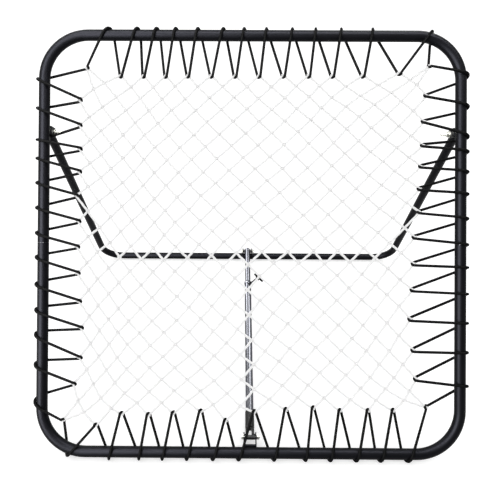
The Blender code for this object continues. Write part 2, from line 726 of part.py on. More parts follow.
def build_inner_strut(slide, zinc, plastic):
    length = strut_length()
    tube_end = length + TIP_TUBE_PAST_PIVOT
    name = "strut_inner_tube"
    tube = tube_profile(INNER_RADIUS, INNER_RADIUS - INNER_WALL, INNER_START, tube_end)
    inner = add_object(name, turned(name, tube, FRAME_SIDES, along_y()), zinc, slide)
    boolean(inner, bore_cutter(TIP_BUSH_RADIUS + GAP, (0, length, 0)), "DIFFERENCE", "bush_hole")

    # A plug with a cap closes the tube's end, and a bush across it passes through the tube's wall.
    name = "strut_tip_fitting"
    plug = INNER_RADIUS - INNER_WALL - GAP
    cap = tube_end + GAP
    end = cap + TIP_CAP_LENGTH
    start = length - TIP_PLUG_REACH
    profile = [(0, start), (plug, start), (plug, cap), (INNER_RADIUS, cap)]
    profile += [(INNER_RADIUS, end - CHAMFER), (INNER_RADIUS - CHAMFER, end), (0, end)]
    fitting = add_object(name, turned(name, profile, FRAME_SIDES, along_y()), plastic, slide)
    half_width = UPPER_EAR_OUT - PLATE - EYE_SIDE_GAP
    bush = rod("bush", TIP_BUSH_RADIUS, -half_width, half_width, FRAME_SIDES, along_x((0, length, 0)))
    boolean(fitting, bush, "UNION", "bush")
    # This eye has room round its bolt, because the linkage is opened here.
    boolean(fitting, bore_cutter(TIP_HOLE_RADIUS, (0, length, 0)), "DIFFERENCE", "eye")


def build():
    clear_scene()
    black_steel = make_material("black_powder_coated_steel", (0.012, 0.012, 0.013), 0.42, 0.0)
    mill_steel = make_material("plain_steel", (0.30, 0.30, 0.31), 0.45, 1.0)
    chrome = make_material("bright_zinc_plated_tube", (0.62, 0.63, 0.65), 0.22, 1.0)
    yellow_zinc = make_material("yellow_zinc_fastener", (0.55, 0.45, 0.22), 0.35, 1.0)
    twine = make_material("white_net_twine", (0.85, 0.85, 0.85), 0.8, 0.0)
    elastic = make_material("black_elastic_cord", (0.014, 0.014, 0.015), 0.75, 0.0)
    plastic = make_material("black_moulded_plastic", (0.018, 0.018, 0.019), 0.5, 0.0)

    footprint = make_empty("footprint", Matrix.Translation((0, -FOOTPRINT_MIDDLE, 0)))
    lean = make_empty("frame_lean", frame_matrix(), footprint)
    swing = make_empty("leg_swing_axis", leg_matrix(), footprint)
    tilt = make_empty("strut_tilt_axis", strut_matrix(), footprint)
    slide = make_empty("strut_slide_axis", Matrix(), tilt)
    turn = make_empty("clamp_turn_axis", clamp_matrix(), tilt)

    build_frame(lean, black_steel, mill_steel)
    add_object("net", net_mesh("net"), twine, lean)
    build_lacing(lean, elastic)
    build_side_pivots(lean, black_steel, yellow_zinc)
    build_strut_bracket(lean, black_steel, yellow_zinc)
    build_leg(swing, black_steel, plastic, yellow_zinc)
    build_outer_strut(tilt, chrome, plastic, black_steel)
    build_clamp(turn, black_steel)
    build_inner_strut(slide, chrome, plastic)


build()
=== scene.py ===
# %% [markdown]
# # Soccer rebounder
# A rebounder is a square frame of bent steel tube that leans back on a U-shaped leg. A knotted net is laced
# inside it with elastic cord, and a ball kicked into the net springs back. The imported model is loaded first,
# because every finer piece below is made in its frame, in metres, and rides on its moving bodies.

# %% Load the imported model
import math
import random

import bmesh
import bpy
import numpy
from mathutils import Matrix, Vector


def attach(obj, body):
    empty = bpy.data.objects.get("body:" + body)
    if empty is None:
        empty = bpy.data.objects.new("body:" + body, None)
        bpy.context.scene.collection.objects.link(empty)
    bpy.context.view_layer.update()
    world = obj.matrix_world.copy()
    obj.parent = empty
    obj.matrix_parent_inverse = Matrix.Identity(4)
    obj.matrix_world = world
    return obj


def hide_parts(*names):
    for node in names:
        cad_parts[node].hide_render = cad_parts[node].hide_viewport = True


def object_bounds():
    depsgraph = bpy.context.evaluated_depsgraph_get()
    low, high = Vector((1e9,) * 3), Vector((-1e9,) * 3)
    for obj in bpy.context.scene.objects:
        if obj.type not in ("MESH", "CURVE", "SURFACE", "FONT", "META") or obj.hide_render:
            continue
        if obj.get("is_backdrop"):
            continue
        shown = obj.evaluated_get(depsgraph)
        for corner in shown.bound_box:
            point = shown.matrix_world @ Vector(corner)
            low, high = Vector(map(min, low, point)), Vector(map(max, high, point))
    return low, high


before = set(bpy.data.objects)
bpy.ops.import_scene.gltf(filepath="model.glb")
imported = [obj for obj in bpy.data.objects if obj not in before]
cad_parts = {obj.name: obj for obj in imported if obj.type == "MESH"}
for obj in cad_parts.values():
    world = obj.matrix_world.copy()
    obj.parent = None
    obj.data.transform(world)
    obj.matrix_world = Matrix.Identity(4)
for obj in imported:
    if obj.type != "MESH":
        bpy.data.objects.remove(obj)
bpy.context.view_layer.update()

# %% [markdown]
# ## The camera
# A photograph fixes where its camera stood: straight edges and known sizes leave only one place that fits.
# The fit gives a camera in front of the net, looking down at 38 degrees, nearly square to the leaning frame.
# Its axes are set as the columns of a matrix, and the shift moves the picture's centre, as in the photograph.

# %% Stand the camera where the photograph was taken
IMAGE = 500
FOCAL_PIXELS = 530.2
CENTRE_PIXELS = (235.6, 241.0)
CAMERA_PLACE = Vector((-0.0356, -1.2883, 1.4421))
LEAN = math.radians(52)
CAMERA_TURNS = (0.0061, 0.0066, -0.0062)
SENSOR_WIDTH = 36
CLIP_END = 200


def add_object(name, data):
    made = bpy.data.objects.new(name, data)
    bpy.context.scene.collection.objects.link(made)
    return made


camera_data = bpy.data.cameras.new("camera")
camera_data.sensor_width = SENSOR_WIDTH
camera_data.lens = FOCAL_PIXELS / IMAGE * SENSOR_WIDTH
camera_data.shift_x = (IMAGE / 2 - CENTRE_PIXELS[0]) / IMAGE
camera_data.shift_y = (CENTRE_PIXELS[1] - IMAGE / 2) / IMAGE
camera_data.clip_end = CLIP_END
camera = add_object("camera", camera_data)
square_on = Matrix(((1, 0, 0), (0, math.cos(LEAN), math.sin(LEAN)), (0, math.sin(LEAN), -math.cos(LEAN))))
small_turns = Matrix.Identity(3)
for angle, axis in zip(CAMERA_TURNS, "XYZ"):
    small_turns = Matrix.Rotation(angle, 3, axis) @ small_turns
right, up, ahead = small_turns @ square_on
axes = Matrix((right, up, -ahead)).transposed()
camera.matrix_world = Matrix.Translation(CAMERA_PLACE) @ axes.to_4x4()
bpy.context.scene.camera = camera
print("camera looks down at", round(math.degrees(math.asin(-ahead.z)), 1), "degrees")

# %% [markdown]
# ## Colours and nodes
# Colours are picked as sRGB hex values, as a paint chart or a picture shows them. Blender's shaders work in
# linear light, so one function converts them. Another adds a node with its settings and links. Most finishes
# are then laid on alike: one pattern runs between two tones, and a pattern each drives gloss and relief.

# %% Helpers for materials
def colour(code):
    """An sRGB hex colour as linear RGBA."""
    parts = [int(code[i:i + 2], 16) / 255 for i in (0, 2, 4)]
    return (*(p / 12.92 if p <= 0.04045 else ((p + 0.055) / 1.055) ** 2.4 for p in parts), 1)


def plug_in(socket, value):
    """Sets a socket, or links it to another socket or to a node's first output."""
    if isinstance(value, bpy.types.Node):
        value = value.outputs[0]
    if isinstance(value, bpy.types.NodeSocket):
        socket.id_data.links.new(value, socket)
    else:
        socket.default_value = value


def add_node(material, kind, inputs=None, **settings):
    """Adds a node with its settings, and plugs values or other nodes into its inputs."""
    made = material.node_tree.nodes.new(kind)
    for name, value in settings.items():
        setattr(made, name, value)
    for name, value in (inputs or {}).items():
        plug_in(made.inputs[name], value)
    return made


def new_material(name, **sockets):
    """A material, its Principled shader with these sockets set, and the place to read patterns from."""
    material = bpy.data.materials.new(name)
    material.use_nodes = True
    shader = material.node_tree.nodes["Principled BSDF"]
    for socket, value in sockets.items():
        plug_in(shader.inputs[socket.replace("_", " ")], value)
    place = add_node(material, "ShaderNodeTexCoord").outputs["Object"]
    return material, shader, place


def lay_finish(material, shader, pattern, tones, gloss=None, relief=None):
    """Gives the shader two tones, gloss as (pattern, low, high) and relief as (pattern, strength, depth)."""
    tone = add_node(material, "ShaderNodeValToRGB", {"Fac": pattern})
    for element, code in zip(tone.color_ramp.elements, tones):
        element.color = colour(code)
    plug_in(shader.inputs["Base Color"], tone)
    if gloss:
        inputs = dict(zip(("Value", "To Min", "To Max"), gloss))
        plug_in(shader.inputs["Roughness"], add_node(material, "ShaderNodeMapRange", inputs))
    if relief:
        inputs = dict(zip(("Height", "Strength", "Distance"), relief))
        plug_in(shader.inputs["Normal"], add_node(material, "ShaderNodeBump", inputs))
    return tone.color_ramp


MM = 0.001
print("mid grey in linear light:", round(colour("808080")[0], 3))

# %% [markdown]
# ## Black powder coat on steel
# The frame and the leg are sprayed with dry powder that is melted in an oven. It flows out into a satin skin
# with faint dimples like orange peel, about 1 mm apart. They are drawn 4 mm apart, because finer ones would
# be lost in the picture. The eye gets a soft, slightly broken highlight on near-black.

# %% Satin black powder coat
PEEL = 4 * MM
CLOUD = 60 * MM
powder_coat, shader, place = new_material(
    "black powder coat on steel", IOR=1.5, Specular_IOR_Level=0.05, Specular_Tint=colour("DADCEE")
)
peel = add_node(powder_coat, "ShaderNodeTexNoise", {"Vector": place, "Scale": 1 / PEEL, "Detail": 2.0})
cloud = add_node(powder_coat, "ShaderNodeTexNoise", {"Vector": place, "Scale": 1 / CLOUD, "Detail": 3.0})
lay_finish(
    powder_coat, shader, cloud, ("060607", "0C0C0F"), (cloud, 0.38, 0.48), (peel, 0.25, 0.1 * MM)
)
print("powder coat dimples:", PEEL / MM, "mm apart")

# %% [markdown]
# ## Bright zinc on the strut's tubes
# Both tubes of the strut are drawn steel tube, plated with bright zinc. Drawing through a die leaves fine
# lines along the tube, so the pattern is squeezed across it and stretched along it. Real lines are finer than
# 0.1 mm, and are drawn 0.8 mm apart so that they show. A metal keeps its default IOR, and its colour is that
# of its reflections. The specular tint darkens them towards the tube's outline.

# %% Bright zinc-plated tube
DRAW_LINE = 0.8 * MM
DRAWN_OUT = 100
SPANGLE = 9 * MM
bright_zinc, shader, place = new_material(
    "bright zinc on drawn tube", Metallic=1, Specular_Tint=colour("45454B")
)
stretched = add_node(bright_zinc, "ShaderNodeMapping", {"Vector": place, "Scale": (1, 1 / DRAWN_OUT, 1)})
lines = add_node(
    bright_zinc, "ShaderNodeTexNoise", {"Vector": stretched, "Scale": 1 / DRAW_LINE, "Detail": 2.0}
)
spangle = add_node(bright_zinc, "ShaderNodeTexNoise", {"Vector": place, "Scale": 1 / SPANGLE, "Detail": 4.0})
lay_finish(
    bright_zinc, shader, spangle, ("5A5B60", "727378"), (lines, 0.12, 0.30), (lines, 0.12, 0.05 * MM)
)
print("drawing lines:", DRAW_LINE / MM, "mm apart")

# %% [markdown]
# ## Yellow zinc on the bolts and nuts
# The fasteners are zinc plated and then dipped in chromate, which dries to a thin film. The film's thickness
# varies, so a pale straw drifts into grey, and the metal is duller than bright zinc.

# %% Yellow zinc-plated fasteners
FILM = 6 * MM
yellow_zinc, shader, place = new_material("yellow zinc on fasteners", Metallic=1)
film = add_node(yellow_zinc, "ShaderNodeTexNoise", {"Vector": place, "Scale": 1 / FILM, "Detail": 3.0})
tones = lay_finish(yellow_zinc, shader, film, ("B4B8AC", "DCDCD6"), (film, 0.25, 0.42))
tones.elements[0].position = 0.35
tones.elements[1].position = 0.65
tones.elements.new(0.5).color = colour("C2C1BC")
print("film patches:", FILM / MM, "mm")

# %% [markdown]
# ## Plain steel, moulded plastic, twine and braid
# The joint sleeves inside the frame are plain steel with a mill finish. The strut's fittings and the leg's
# plugs are moulded in black plastic, with the fine grain that the mould's eroded surface leaves. The net is
# twisted polyester, white and matt. The lacing is rubber in a braided sleeve: threads wind both ways round
# it and make rows of small diamonds, so its pattern follows the cord's own UV map, once round and once along.
# The plastic's grain and the twine's fibres are several times finer than they are drawn, so that they show.

# %% Plain steel
MILL_SCALE = 3 * MM
plain_steel, shader, place = new_material("mill finish steel", Metallic=1)
scale = add_node(plain_steel, "ShaderNodeTexNoise", {"Vector": place, "Scale": 1 / MILL_SCALE, "Detail": 5.0})
lay_finish(plain_steel, shader, scale, ("6E6E70", "98989A"), (scale, 0.35, 0.6))
print("mill scale patches:", MILL_SCALE / MM, "mm")

# %% Black moulded plastic
GRAIN = 1.5 * MM
FLOW = 15 * MM
plastic, shader, place = new_material("black moulded plastic", IOR=1.49, Specular_IOR_Level=0.15)
grain = add_node(plastic, "ShaderNodeTexNoise", {"Vector": place, "Scale": 1 / GRAIN, "Detail": 3.0})
flow = add_node(plastic, "ShaderNodeTexNoise", {"Vector": place, "Scale": 1 / FLOW, "Detail": 2.0})
lay_finish(plastic, shader, flow, ("0B0B0C", "151516"), (grain, 0.38, 0.55), (grain, 0.3, 0.1 * MM))
print("plastic grain:", GRAIN / MM, "mm")

# %% White twisted twine
FIBRE = 1.2 * MM
SOIL = 90 * MM
twine, shader, place = new_material(
    "white twisted polyester twine", Roughness=0.9, Specular_IOR_Level=0.05, Subsurface_Weight=1.0,
    Subsurface_Radius=(1, 1, 1), Subsurface_Scale=0.8 * MM,
)
fibre = add_node(twine, "ShaderNodeTexNoise", {"Vector": place, "Scale": 1 / FIBRE, "Detail": 2.0})
soil = add_node(twine, "ShaderNodeTexNoise", {"Vector": place, "Scale": 1 / SOIL, "Detail": 3.0})
lay_finish(twine, shader, soil, ("F6F6F6", "FAFAFA"), None, (fibre, 0.4, 0.2 * MM))
print("twine fibres:", FIBRE / MM, "mm")

# %% Black braided elastic cord
# The UV map counts whole turns round the cord and the same length along it, so the threads slant evenly. The
# real threads are 1 mm wide, and are drawn about three times as wide, so that they show.
CORD_RADIUS = 0.004
BRAID_THREADS = 8
WAVE_PHASE = 10  # A wave texture's phase is this many times its scale and place.
elastic, shader, place = new_material("black braided elastic cord", Roughness=0.7, Specular_IOR_Level=0.02)
round_and_along = add_node(elastic, "ShaderNodeUVMap", uv_map="along_and_round")
crossing = []
for turn in (-1, 1):
    slanted = add_node(elastic, "ShaderNodeMapping", {"Vector": round_and_along, "Scale": (1, turn, 1)})
    crossing.append(add_node(
        elastic, "ShaderNodeTexWave",
        {"Vector": slanted, "Scale": BRAID_THREADS * 2 * math.pi / WAVE_PHASE},
        wave_type="BANDS", bands_direction="DIAGONAL", wave_profile="SIN",
    ).outputs["Fac"])
braid = add_node(elastic, "ShaderNodeMath", {0: crossing[0], 1: crossing[1]}, operation="MAXIMUM")
lay_finish(elastic, shader, braid, ("020202", "0B0B0C"), None, (braid, 0.6, 0.3 * MM))
print("threads round the cord:", BRAID_THREADS)

# %% [markdown]
# ## Places on the rebounder
# The frame's own plane is the easiest place to draw in: x runs along the bottom tube, y points behind the net
# and z runs up the frame. The leg, the strut and the clamp each have such a place too. One matrix for each
# carries the finished shape to where the solids have it, so the moving pieces turn about the right axes.

# %% Matrices for the four places
FRAME_HALF = 0.604
TUBE_RADIUS = 0.016
TUBE_WALL = 0.0015
CORNER_RADIUS = 0.127
TUBE_HEIGHT = 0.0217
PIVOT_UP = 0.932
PIVOT_BACK = 0.040
LEG_RADIUS = 0.013
BAR_BACK = 0.908
EAR_RISE = 0.027
STRUT_PIVOT = Vector((0, 0.051, 0.0224))
CLAMP_AT = 0.645
CLAMP_TURN = math.radians(42)
BOTTOM_TUBE_FORWARD = 0.4487

ground_middle = Matrix.Translation((0, -BOTTOM_TUBE_FORWARD, 0))
upright_frame = Matrix.Translation((0, 0, TUBE_HEIGHT)) @ Matrix.Rotation(LEAN - math.pi / 2, 4, "X")
pivot = upright_frame @ Vector((0, PIVOT_BACK, PIVOT_UP))
bar = Vector((0, BAR_BACK, LEG_RADIUS))
tip = bar + Vector((0, 0, EAR_RISE))
leg_reach = bar - pivot
strut_reach = tip - STRUT_PIVOT
in_frame = ground_middle @ upright_frame
in_leg = ground_middle @ Matrix.Translation(pivot) @ Matrix.Rotation(
    math.atan2(leg_reach.y, -leg_reach.z), 4, "X"
)
in_strut = ground_middle @ Matrix.Translation(STRUT_PIVOT) @ Matrix.Rotation(
    math.atan2(strut_reach.z, strut_reach.y), 4, "X"
)
in_clamp = in_strut @ Matrix.Translation((0, CLAMP_AT, 0)) @ Matrix.Rotation(CLAMP_TURN, 4, "Y")
at_bar = ground_middle @ Matrix.Translation(bar)
at_bracket = ground_middle @ Matrix.Translation((0, 0, STRUT_PIVOT.z))
print("leg, mm:", round(1000 * leg_reach.length), " strut, mm:", round(1000 * strut_reach.length))

# %% [markdown]
# ## From a shape to a piece
# Every piece ends the same way: its doubles are merged, its faces are turned outwards, it is carried to its
# place and shaded smooth with its sharp edges kept. A small bevel finishes machined and pressed edges, since
# a real edge always catches a thin line of light. Then the piece rides on its body and stands for its solids.

# %% The last steps of every piece
FINISHES = {
    "black_powder_coat": powder_coat, "bright_zinc": bright_zinc, "yellow_zinc": yellow_zinc,
    "black_plastic": plastic, "white_twine": twine, "black_elastic": elastic,
}
MERGE = 1e-6
SHARP = math.radians(35)


def moved(bm, place):
    bmesh.ops.transform(bm, verts=bm.verts, matrix=place)
    return bm


def mesh_from(bm, name):
    mesh = bpy.data.meshes.new(name)
    bm.to_mesh(mesh)
    bm.free()
    return mesh


def add_piece(bm, name, slot, body, nodes=()):
    """Makes a shape that is in its place a piece of the object, in the finish of its slot."""
    mesh = mesh_from(bm, name)
    mesh.shade_smooth()
    mesh.materials.append(FINISHES[slot])
    piece = add_object(name, mesh)
    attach(piece, body)
    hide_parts(*nodes)
    print(name, len(mesh.polygons), "faces")
    return piece


def face_outwards(bm):
    """Merges doubles and turns the faces outwards."""
    bmesh.ops.remove_doubles(bm, verts=bm.verts, dist=MERGE)
    bmesh.ops.recalc_face_normals(bm, faces=bm.faces)
    if bm.calc_volume(signed=True) < 0:
        bmesh.ops.reverse_faces(bm, faces=bm.faces)


def finish_piece(bm, name, place, slot, body, nodes=(), edge=0.0, sharp=SHARP):
    face_outwards(bm)
    piece = add_piece(moved(bm, place), name, slot, body, nodes)
    piece.data.set_sharp_from_angle(angle=sharp)
    if edge:
        bevel = piece.modifiers.new("worn edge", "BEVEL")
        bevel.width = edge
        bevel.segments = 2
        bevel.angle_limit = sharp
        bevel.harden_normals = True


print("edges that turn by more than", round(math.degrees(SHARP)), "degrees stay sharp")

# %% [markdown]
# ## Bent tube
# A tube bender holds the straight tube and winds it round a former. The same two moves make the mesh: a ring
# of edges is carried straight on, or spun round the bend's centre. Solidify then gives the open skin its
# wall, as thick as the real tube's, so the cut ends show a rim.

# %% Carry a ring along a tube
SIDES = 40
STRAIGHT_STEPS = 4
BEND_STEPS = 20


def ring_at(bm, radius, place, sides=SIDES):
    made = bmesh.ops.create_circle(bm, segments=sides, radius=radius, matrix=place)["verts"]
    return made + list({edge for vert in made for edge in vert.link_edges})


def edges_in(elements):
    return [element for element in elements if isinstance(element, bmesh.types.BMEdge)]


def straight_on(bm, ring, way, steps=STRAIGHT_STEPS):
    step = Vector(way) / steps
    return bmesh.ops.spin(bm, geom=ring, cent=(0, 0, 0), axis=(0, 0, 1), dvec=step, steps=steps)["geom_last"]


def round_bend(bm, ring, centre, angle, axis=(0, 1, 0), steps=BEND_STEPS):
    return bmesh.ops.spin(bm, geom=ring, cent=centre, axis=axis, angle=angle, steps=steps)["geom_last"]


def wall(bm, thickness):
    """Gives an open skin its wall, inwards."""
    bmesh.ops.recalc_face_normals(bm, faces=bm.faces)
    bmesh.ops.solidify(bm, geom=bm.faces[:], thickness=thickness)


def bent_u(radius, half_width, top, bottom, bend):
    """A U of tube, open upwards: down from top on the left, along the bottom and up on the right."""
    bm = bmesh.new()
    ring = ring_at(bm, radius, Matrix.Translation((-half_width, 0, top)))
    ring = straight_on(bm, ring, (0, 0, bottom + bend - top))
    ring = round_bend(bm, ring, (bend - half_width, 0, bottom + bend), -math.pi / 2)
    ring = straight_on(bm, ring, (2 * (half_width - bend), 0, 0), 2 * STRAIGHT_STEPS)
    ring = round_bend(bm, ring, (half_width - bend, 0, bottom + bend), -math.pi / 2)
    straight_on(bm, ring, (0, 0, top - bottom - bend))
    return bm


print("sides round a tube:", SIDES)

# %% [markdown]
# ## The frame
# It is shipped in two halves, each a U bent from one length of 32 mm tube. They meet in the middle of the
# sides over an inner sleeve, with a hairline gap that is kept here. The upper half is the lower one mirrored.

# %% Frame halves and their inner sleeves
JOINT_GAP = 0.0003
for name, flip in (("lower_frame_tube", 1), ("upper_frame_tube", -1)):
    bm = bent_u(TUBE_RADIUS, FRAME_HALF, -JOINT_GAP / 2, -FRAME_HALF, CORNER_RADIUS)
    moved(bm, Matrix.Translation((0, 0, FRAME_HALF)) @ Matrix.Diagonal((1, 1, flip, 1)))
    wall(bm, TUBE_WALL)
    node = "frame_lower_half" if flip > 0 else "frame_upper_half"
    finish_piece(bm, name, in_frame, "black_powder_coat", "frame", [node])
for name in ("left_joint_sleeve", "right_joint_sleeve"):
    for material_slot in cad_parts[name].material_slots:
        material_slot.material = plain_steel

# %% [markdown]
# ## The net's corners
# The lacing pulls each knot on the net's edge towards the frame, and the inside of the net follows. So the
# edge knots are placed one by one, side by side as they hang in the photograph, with a few of the inner ones.
# All others lie on a smooth sheet through these: the shape that a thin plate takes when it is bent to pass
# through given points, whose bend spreads from each point as the distance squared times its logarithm.

# %% Where the lacing holds the net
# Each side is drawn lying on its back: along runs clockwise from the side's middle, out points away from the
# frame's centre. The first loop of a side is at the corner knot it starts from. All in millimetres.
LOOPS = {
    "top": (
        (-477, 505), (-382, 481), (-316, 481), (-252, 481), (-187, 482), (-119, 482), (-50, 482),
        (19, 482), (90, 483), (163, 483), (232, 483), (320, 484), (426, 492),
    ),
    "right": (
        (-515, 510), (-432, 498), (-357, 491), (-288, 489), (-227, 484), (-162, 480), (-95, 481),
        (-22, 466), (55, 464), (130, 461), (215, 455), (304, 464), (387, 472),
    ),
    "bottom": (
        (-503, 465), (-411, 474), (-339, 475), (-258, 476), (-181, 469), (-102, 474), (-11, 481),
        (72, 507), (144, 481), (223, 487), (295, 492), (373, 490), (447, 524),
    ),
    "left": (
        (-511, 539), (-409, 507), (-333, 490), (-247, 487), (-170, 493), (-88, 498), (-12, 500),
        (62, 497), (136, 504), (206, 496), (272, 495), (341, 496), (415, 496),
    ),
}
# Where the cord passes over the outer edge of the tube after each loop, along the tube in millimetres.
WRAPS = {
    "top": (-414, -332, -276, -221, -157, -83, -23, 41, 116, 183, 257, 348, 516),
    "right": (-486, -397, -310, -268, -210, -146, -75, 0, 65, 141, 225, 309, 406),
    "bottom": (-451, -373, -303, -229, -158, -67, 36, 110, 185, 255, 322, 409, 525),
    "left": (-455, -349, -262, -192, -118, -40, 30, 103, 175, 246, 299, 392, 477),
}
SIDES_CLOCKWISE = ("top", "right", "bottom", "left")
CELLS = 14
TURN_RADIUS = 0.0065


def side_axes(side):
    """The side's clockwise and outward directions in the frame's plane."""
    turn = Matrix.Rotation(SIDES_CLOCKWISE.index(side) * math.pi / 2, 3, "Y")
    return turn @ Vector((1, 0, 0)), turn @ Vector((0, 0, 1))


def on_side(side, along, out):
    """A point beside the frame's middle, in metres, from millimetres along a side and out from the centre."""
    clockwise, outward = side_axes(side)
    return clockwise * along * MM + outward * out * MM


def edge_knots(side):
    """The knots along one side, from its first corner to its last, just outside the cord's turns."""
    following = SIDES_CLOCKWISE[(SIDES_CLOCKWISE.index(side) + 1) % 4]
    turns = [on_side(side, *loop) for loop in LOOPS[side]] + [on_side(following, *LOOPS[following][0])]
    outward = side_axes(side)[1]
    knots = [spot + outward * TURN_RADIUS for spot in turns]
    for end in (0, -1):
        knots[end] = turns[end] + turns[end].normalized() * TURN_RADIUS
    return knots


knots_on = {side: edge_knots(side) for side in SIDES_CLOCKWISE}
print("loops:", sum(len(loops) for loops in LOOPS.values()))

# %% Fill the net's inside
# Inner knots placed one by one. A knot's key counts half cells from the net's left and top edge, and its place
# is in millimetres to the right and upwards from the frame's centre.
LAST = 2 * CELLS
PLACED = {
    (5, 4): (-340, 350), (9, 4): (-205, 350), (13, 4): (-55, 355), (19, 4): (170, 360), (23, 4): (310, 370),
    (4, 9): (-375, 175), (10, 9): (-180, 170), (14, 9): (-30, 180), (18, 9): (120, 185), (24, 9): (340, 200),
    (5, 14): (-350, -10), (9, 14): (-220, -10), (13, 14): (-80, 5), (19, 14): (145, 15), (23, 14): (290, 20),
    (4, 19): (-385, -190), (10, 19): (-180, -185), (14, 19): (-45, -175), (18, 19): (100, -160),
    (24, 19): (320, -160), (5, 24): (-360, -365), (9, 24): (-220, -360), (13, 24): (-65, -360),
    (19, 24): (155, -335), (23, 24): (305, -345),
}
SLACK = 0.0012
SEED = 52


def edge_spots():
    """The knots on the net's edge, by their place in the lattice. A corner knot has two places."""
    found = {}
    for i in range(CELLS):
        found[2 * i + 1, 0] = knots_on["top"][i]
        found[LAST, 2 * i + 1] = knots_on["right"][i]
        found[LAST - 1 - 2 * i, LAST] = knots_on["bottom"][i]
        found[0, LAST - 1 - 2 * i] = knots_on["left"][i]
    return found


def plate_bend(distance):
    return distance ** 2 * numpy.log(numpy.maximum(distance, 1e-9))


def smooth_sheet(known, wanted):
    """Places for the wanted lattice keys, on a thin plate bent through the known ones."""
    keys = numpy.array(list(known), float)
    places = numpy.array([(spot.x, spot.z) for spot in known.values()])
    count = len(keys)
    flat = numpy.hstack([numpy.ones((count, 1)), keys])
    bends = plate_bend(numpy.linalg.norm(keys[:, None] - keys[None], axis=2))
    system = numpy.block([[bends, flat], [flat.T, numpy.zeros((3, 3))]])
    weights = numpy.linalg.solve(system, numpy.vstack([places, numpy.zeros((3, 2))]))
    at = numpy.array(wanted, float)
    bends = plate_bend(numpy.linalg.norm(at[:, None] - keys[None], axis=2))
    return bends @ weights[:count] + weights[count] + at @ weights[count + 1:]


random.seed(SEED)
spots = edge_spots()
edge_count = len(spots)
spots.update({key: Vector((across * MM, 0, up * MM)) for key, (across, up) in PLACED.items()})
inner = [(a, b) for a in range(1, LAST) for b in range(1, LAST) if (a + b) % 2 and (a, b) not in spots]
for key, (across, up) in zip(inner, smooth_sheet(spots, inner)):
    spots[key] = Vector((across, 0, up)) + Vector([random.gauss(0, SLACK) for _ in range(3)])
print("knots in the net:", len(spots) - 4, "of them placed by hand:", edge_count - 4 + len(PLACED))

# %% [markdown]
# ## The knotted net
# Three strands are twisted to a twine, drawn as wide as the photograph shows it with its fluff, and knotted
# where it crosses. One length and one knot are stamped some twelve hundred times, so each has only a few
# dozen faces: the length is a six-cornered ring, every second corner further out, carried along and turned at
# once. The knot is a small oval loop round the crossing. Light goes into white twine and leaves it near by,
# so its shader scatters light under the surface, which keeps the thin lines pale.

# %% One strand and one knot
TWINE_RADIUS = 0.0038
STRAND_SIDES = 6
STRAND_STEPS = 6
STRAND_TWIST = math.radians(300)
VALLEY = 0.78
KNOT_TWINE = 0.0021
KNOT_LOOP = 0.0040
KNOT_SHAPE = (1.15, 0.85, 1.2)
KNOT_LEAN = 0.5
KNOT_SIDES = 5
KNOT_STEPS = 8


def strand_mesh():
    """A strand one unit long along X."""
    bm = bmesh.new()
    across = Matrix.Rotation(math.pi / 2, 4, "Y")
    ring = ring_at(bm, TWINE_RADIUS, across, STRAND_SIDES)
    valleys = [element for element in ring if isinstance(element, bmesh.types.BMVert)][::2]
    bmesh.ops.scale(bm, vec=(1, VALLEY, VALLEY), verts=valleys)
    last = bmesh.ops.spin(
        bm, geom=ring, cent=(0, 0, 0), axis=(1, 0, 0), angle=STRAND_TWIST, steps=STRAND_STEPS,
        dvec=(1 / STRAND_STEPS, 0, 0),
    )["geom_last"]
    for end in (ring, last):
        bmesh.ops.contextual_create(bm, geom=edges_in(end))
    return mesh_from(bm, "strand")


def knot_mesh():
    bm = bmesh.new()
    start = Matrix.Translation((KNOT_LOOP, 0, 0)) @ Matrix.Rotation(math.pi / 2, 4, "X")
    ring = ring_at(bm, KNOT_TWINE, start, KNOT_SIDES)
    bmesh.ops.spin(
        bm, geom=ring, cent=(0, 0, 0), axis=(0, 0, 1), angle=2 * math.pi, steps=KNOT_STEPS, use_merge=True
    )
    bmesh.ops.scale(bm, vec=KNOT_SHAPE, verts=bm.verts)
    return mesh_from(bm, "knot")


def stamp(bm, mesh, place):
    """Adds a copy of a small mesh to the shape."""
    copy = mesh.copy()
    copy.transform(place)
    bm.from_mesh(copy)
    bpy.data.meshes.remove(copy)


print("twine, mm thick:", 2 * TWINE_RADIUS / MM)

# %% Stamp the net
def toward(start, end):
    """A matrix that lays a unit strand from one knot to the next."""
    reach = end - start
    lie = reach.to_track_quat("X", "Z").to_matrix().to_4x4()
    return Matrix.Translation(start) @ lie @ Matrix.Diagonal((reach.length, 1, 1, 1))


net = bmesh.new()
strand, knot = strand_mesh(), knot_mesh()
at_middle = Matrix.Translation((0, 0, FRAME_HALF))
for (a, b), spot in spots.items():
    for step in (-1, 1):
        other = spots.get((a + 1, b + step))
        if other is not None and (other - spot).length > CORD_RADIUS:
            stamp(net, strand, at_middle @ toward(spot, other))
    if (a, b) not in ((0, 1), (LAST - 1, 0), (LAST, LAST - 1), (1, LAST)):
        lean = Matrix.Rotation(random.uniform(-KNOT_LEAN, KNOT_LEAN), 4, "Y")
        stamp(net, knot, at_middle @ Matrix.Translation(spot) @ lean)
add_piece(moved(net, in_frame), "knotted_net", "white_twine", "frame", ["net"])

# %% [markdown]
# ## The elastic lacing
# One cord goes all the way round: behind the net, through its edge beside a knot, over the front of the tube
# and back behind it. A tight cord lies on a tube along a geodesic, a helix that keeps the slant of its
# straight run, so each wrap's slant is worked out from the loops before and after it. The route becomes a
# curve with a round bevel, which is made a mesh with its UV map.

# %% The cord's route
WRAP_RADIUS = TUBE_RADIUS + CORD_RADIUS
WRAP_HALF = math.radians(98)
WRAP_STEPS = 12
TURN_STEPS = 6
TURN_LEAN = math.radians(42)
STRAIGHT = (FRAME_HALF - CORNER_RADIUS) / MM
BACK = Vector((0, 1, 0))


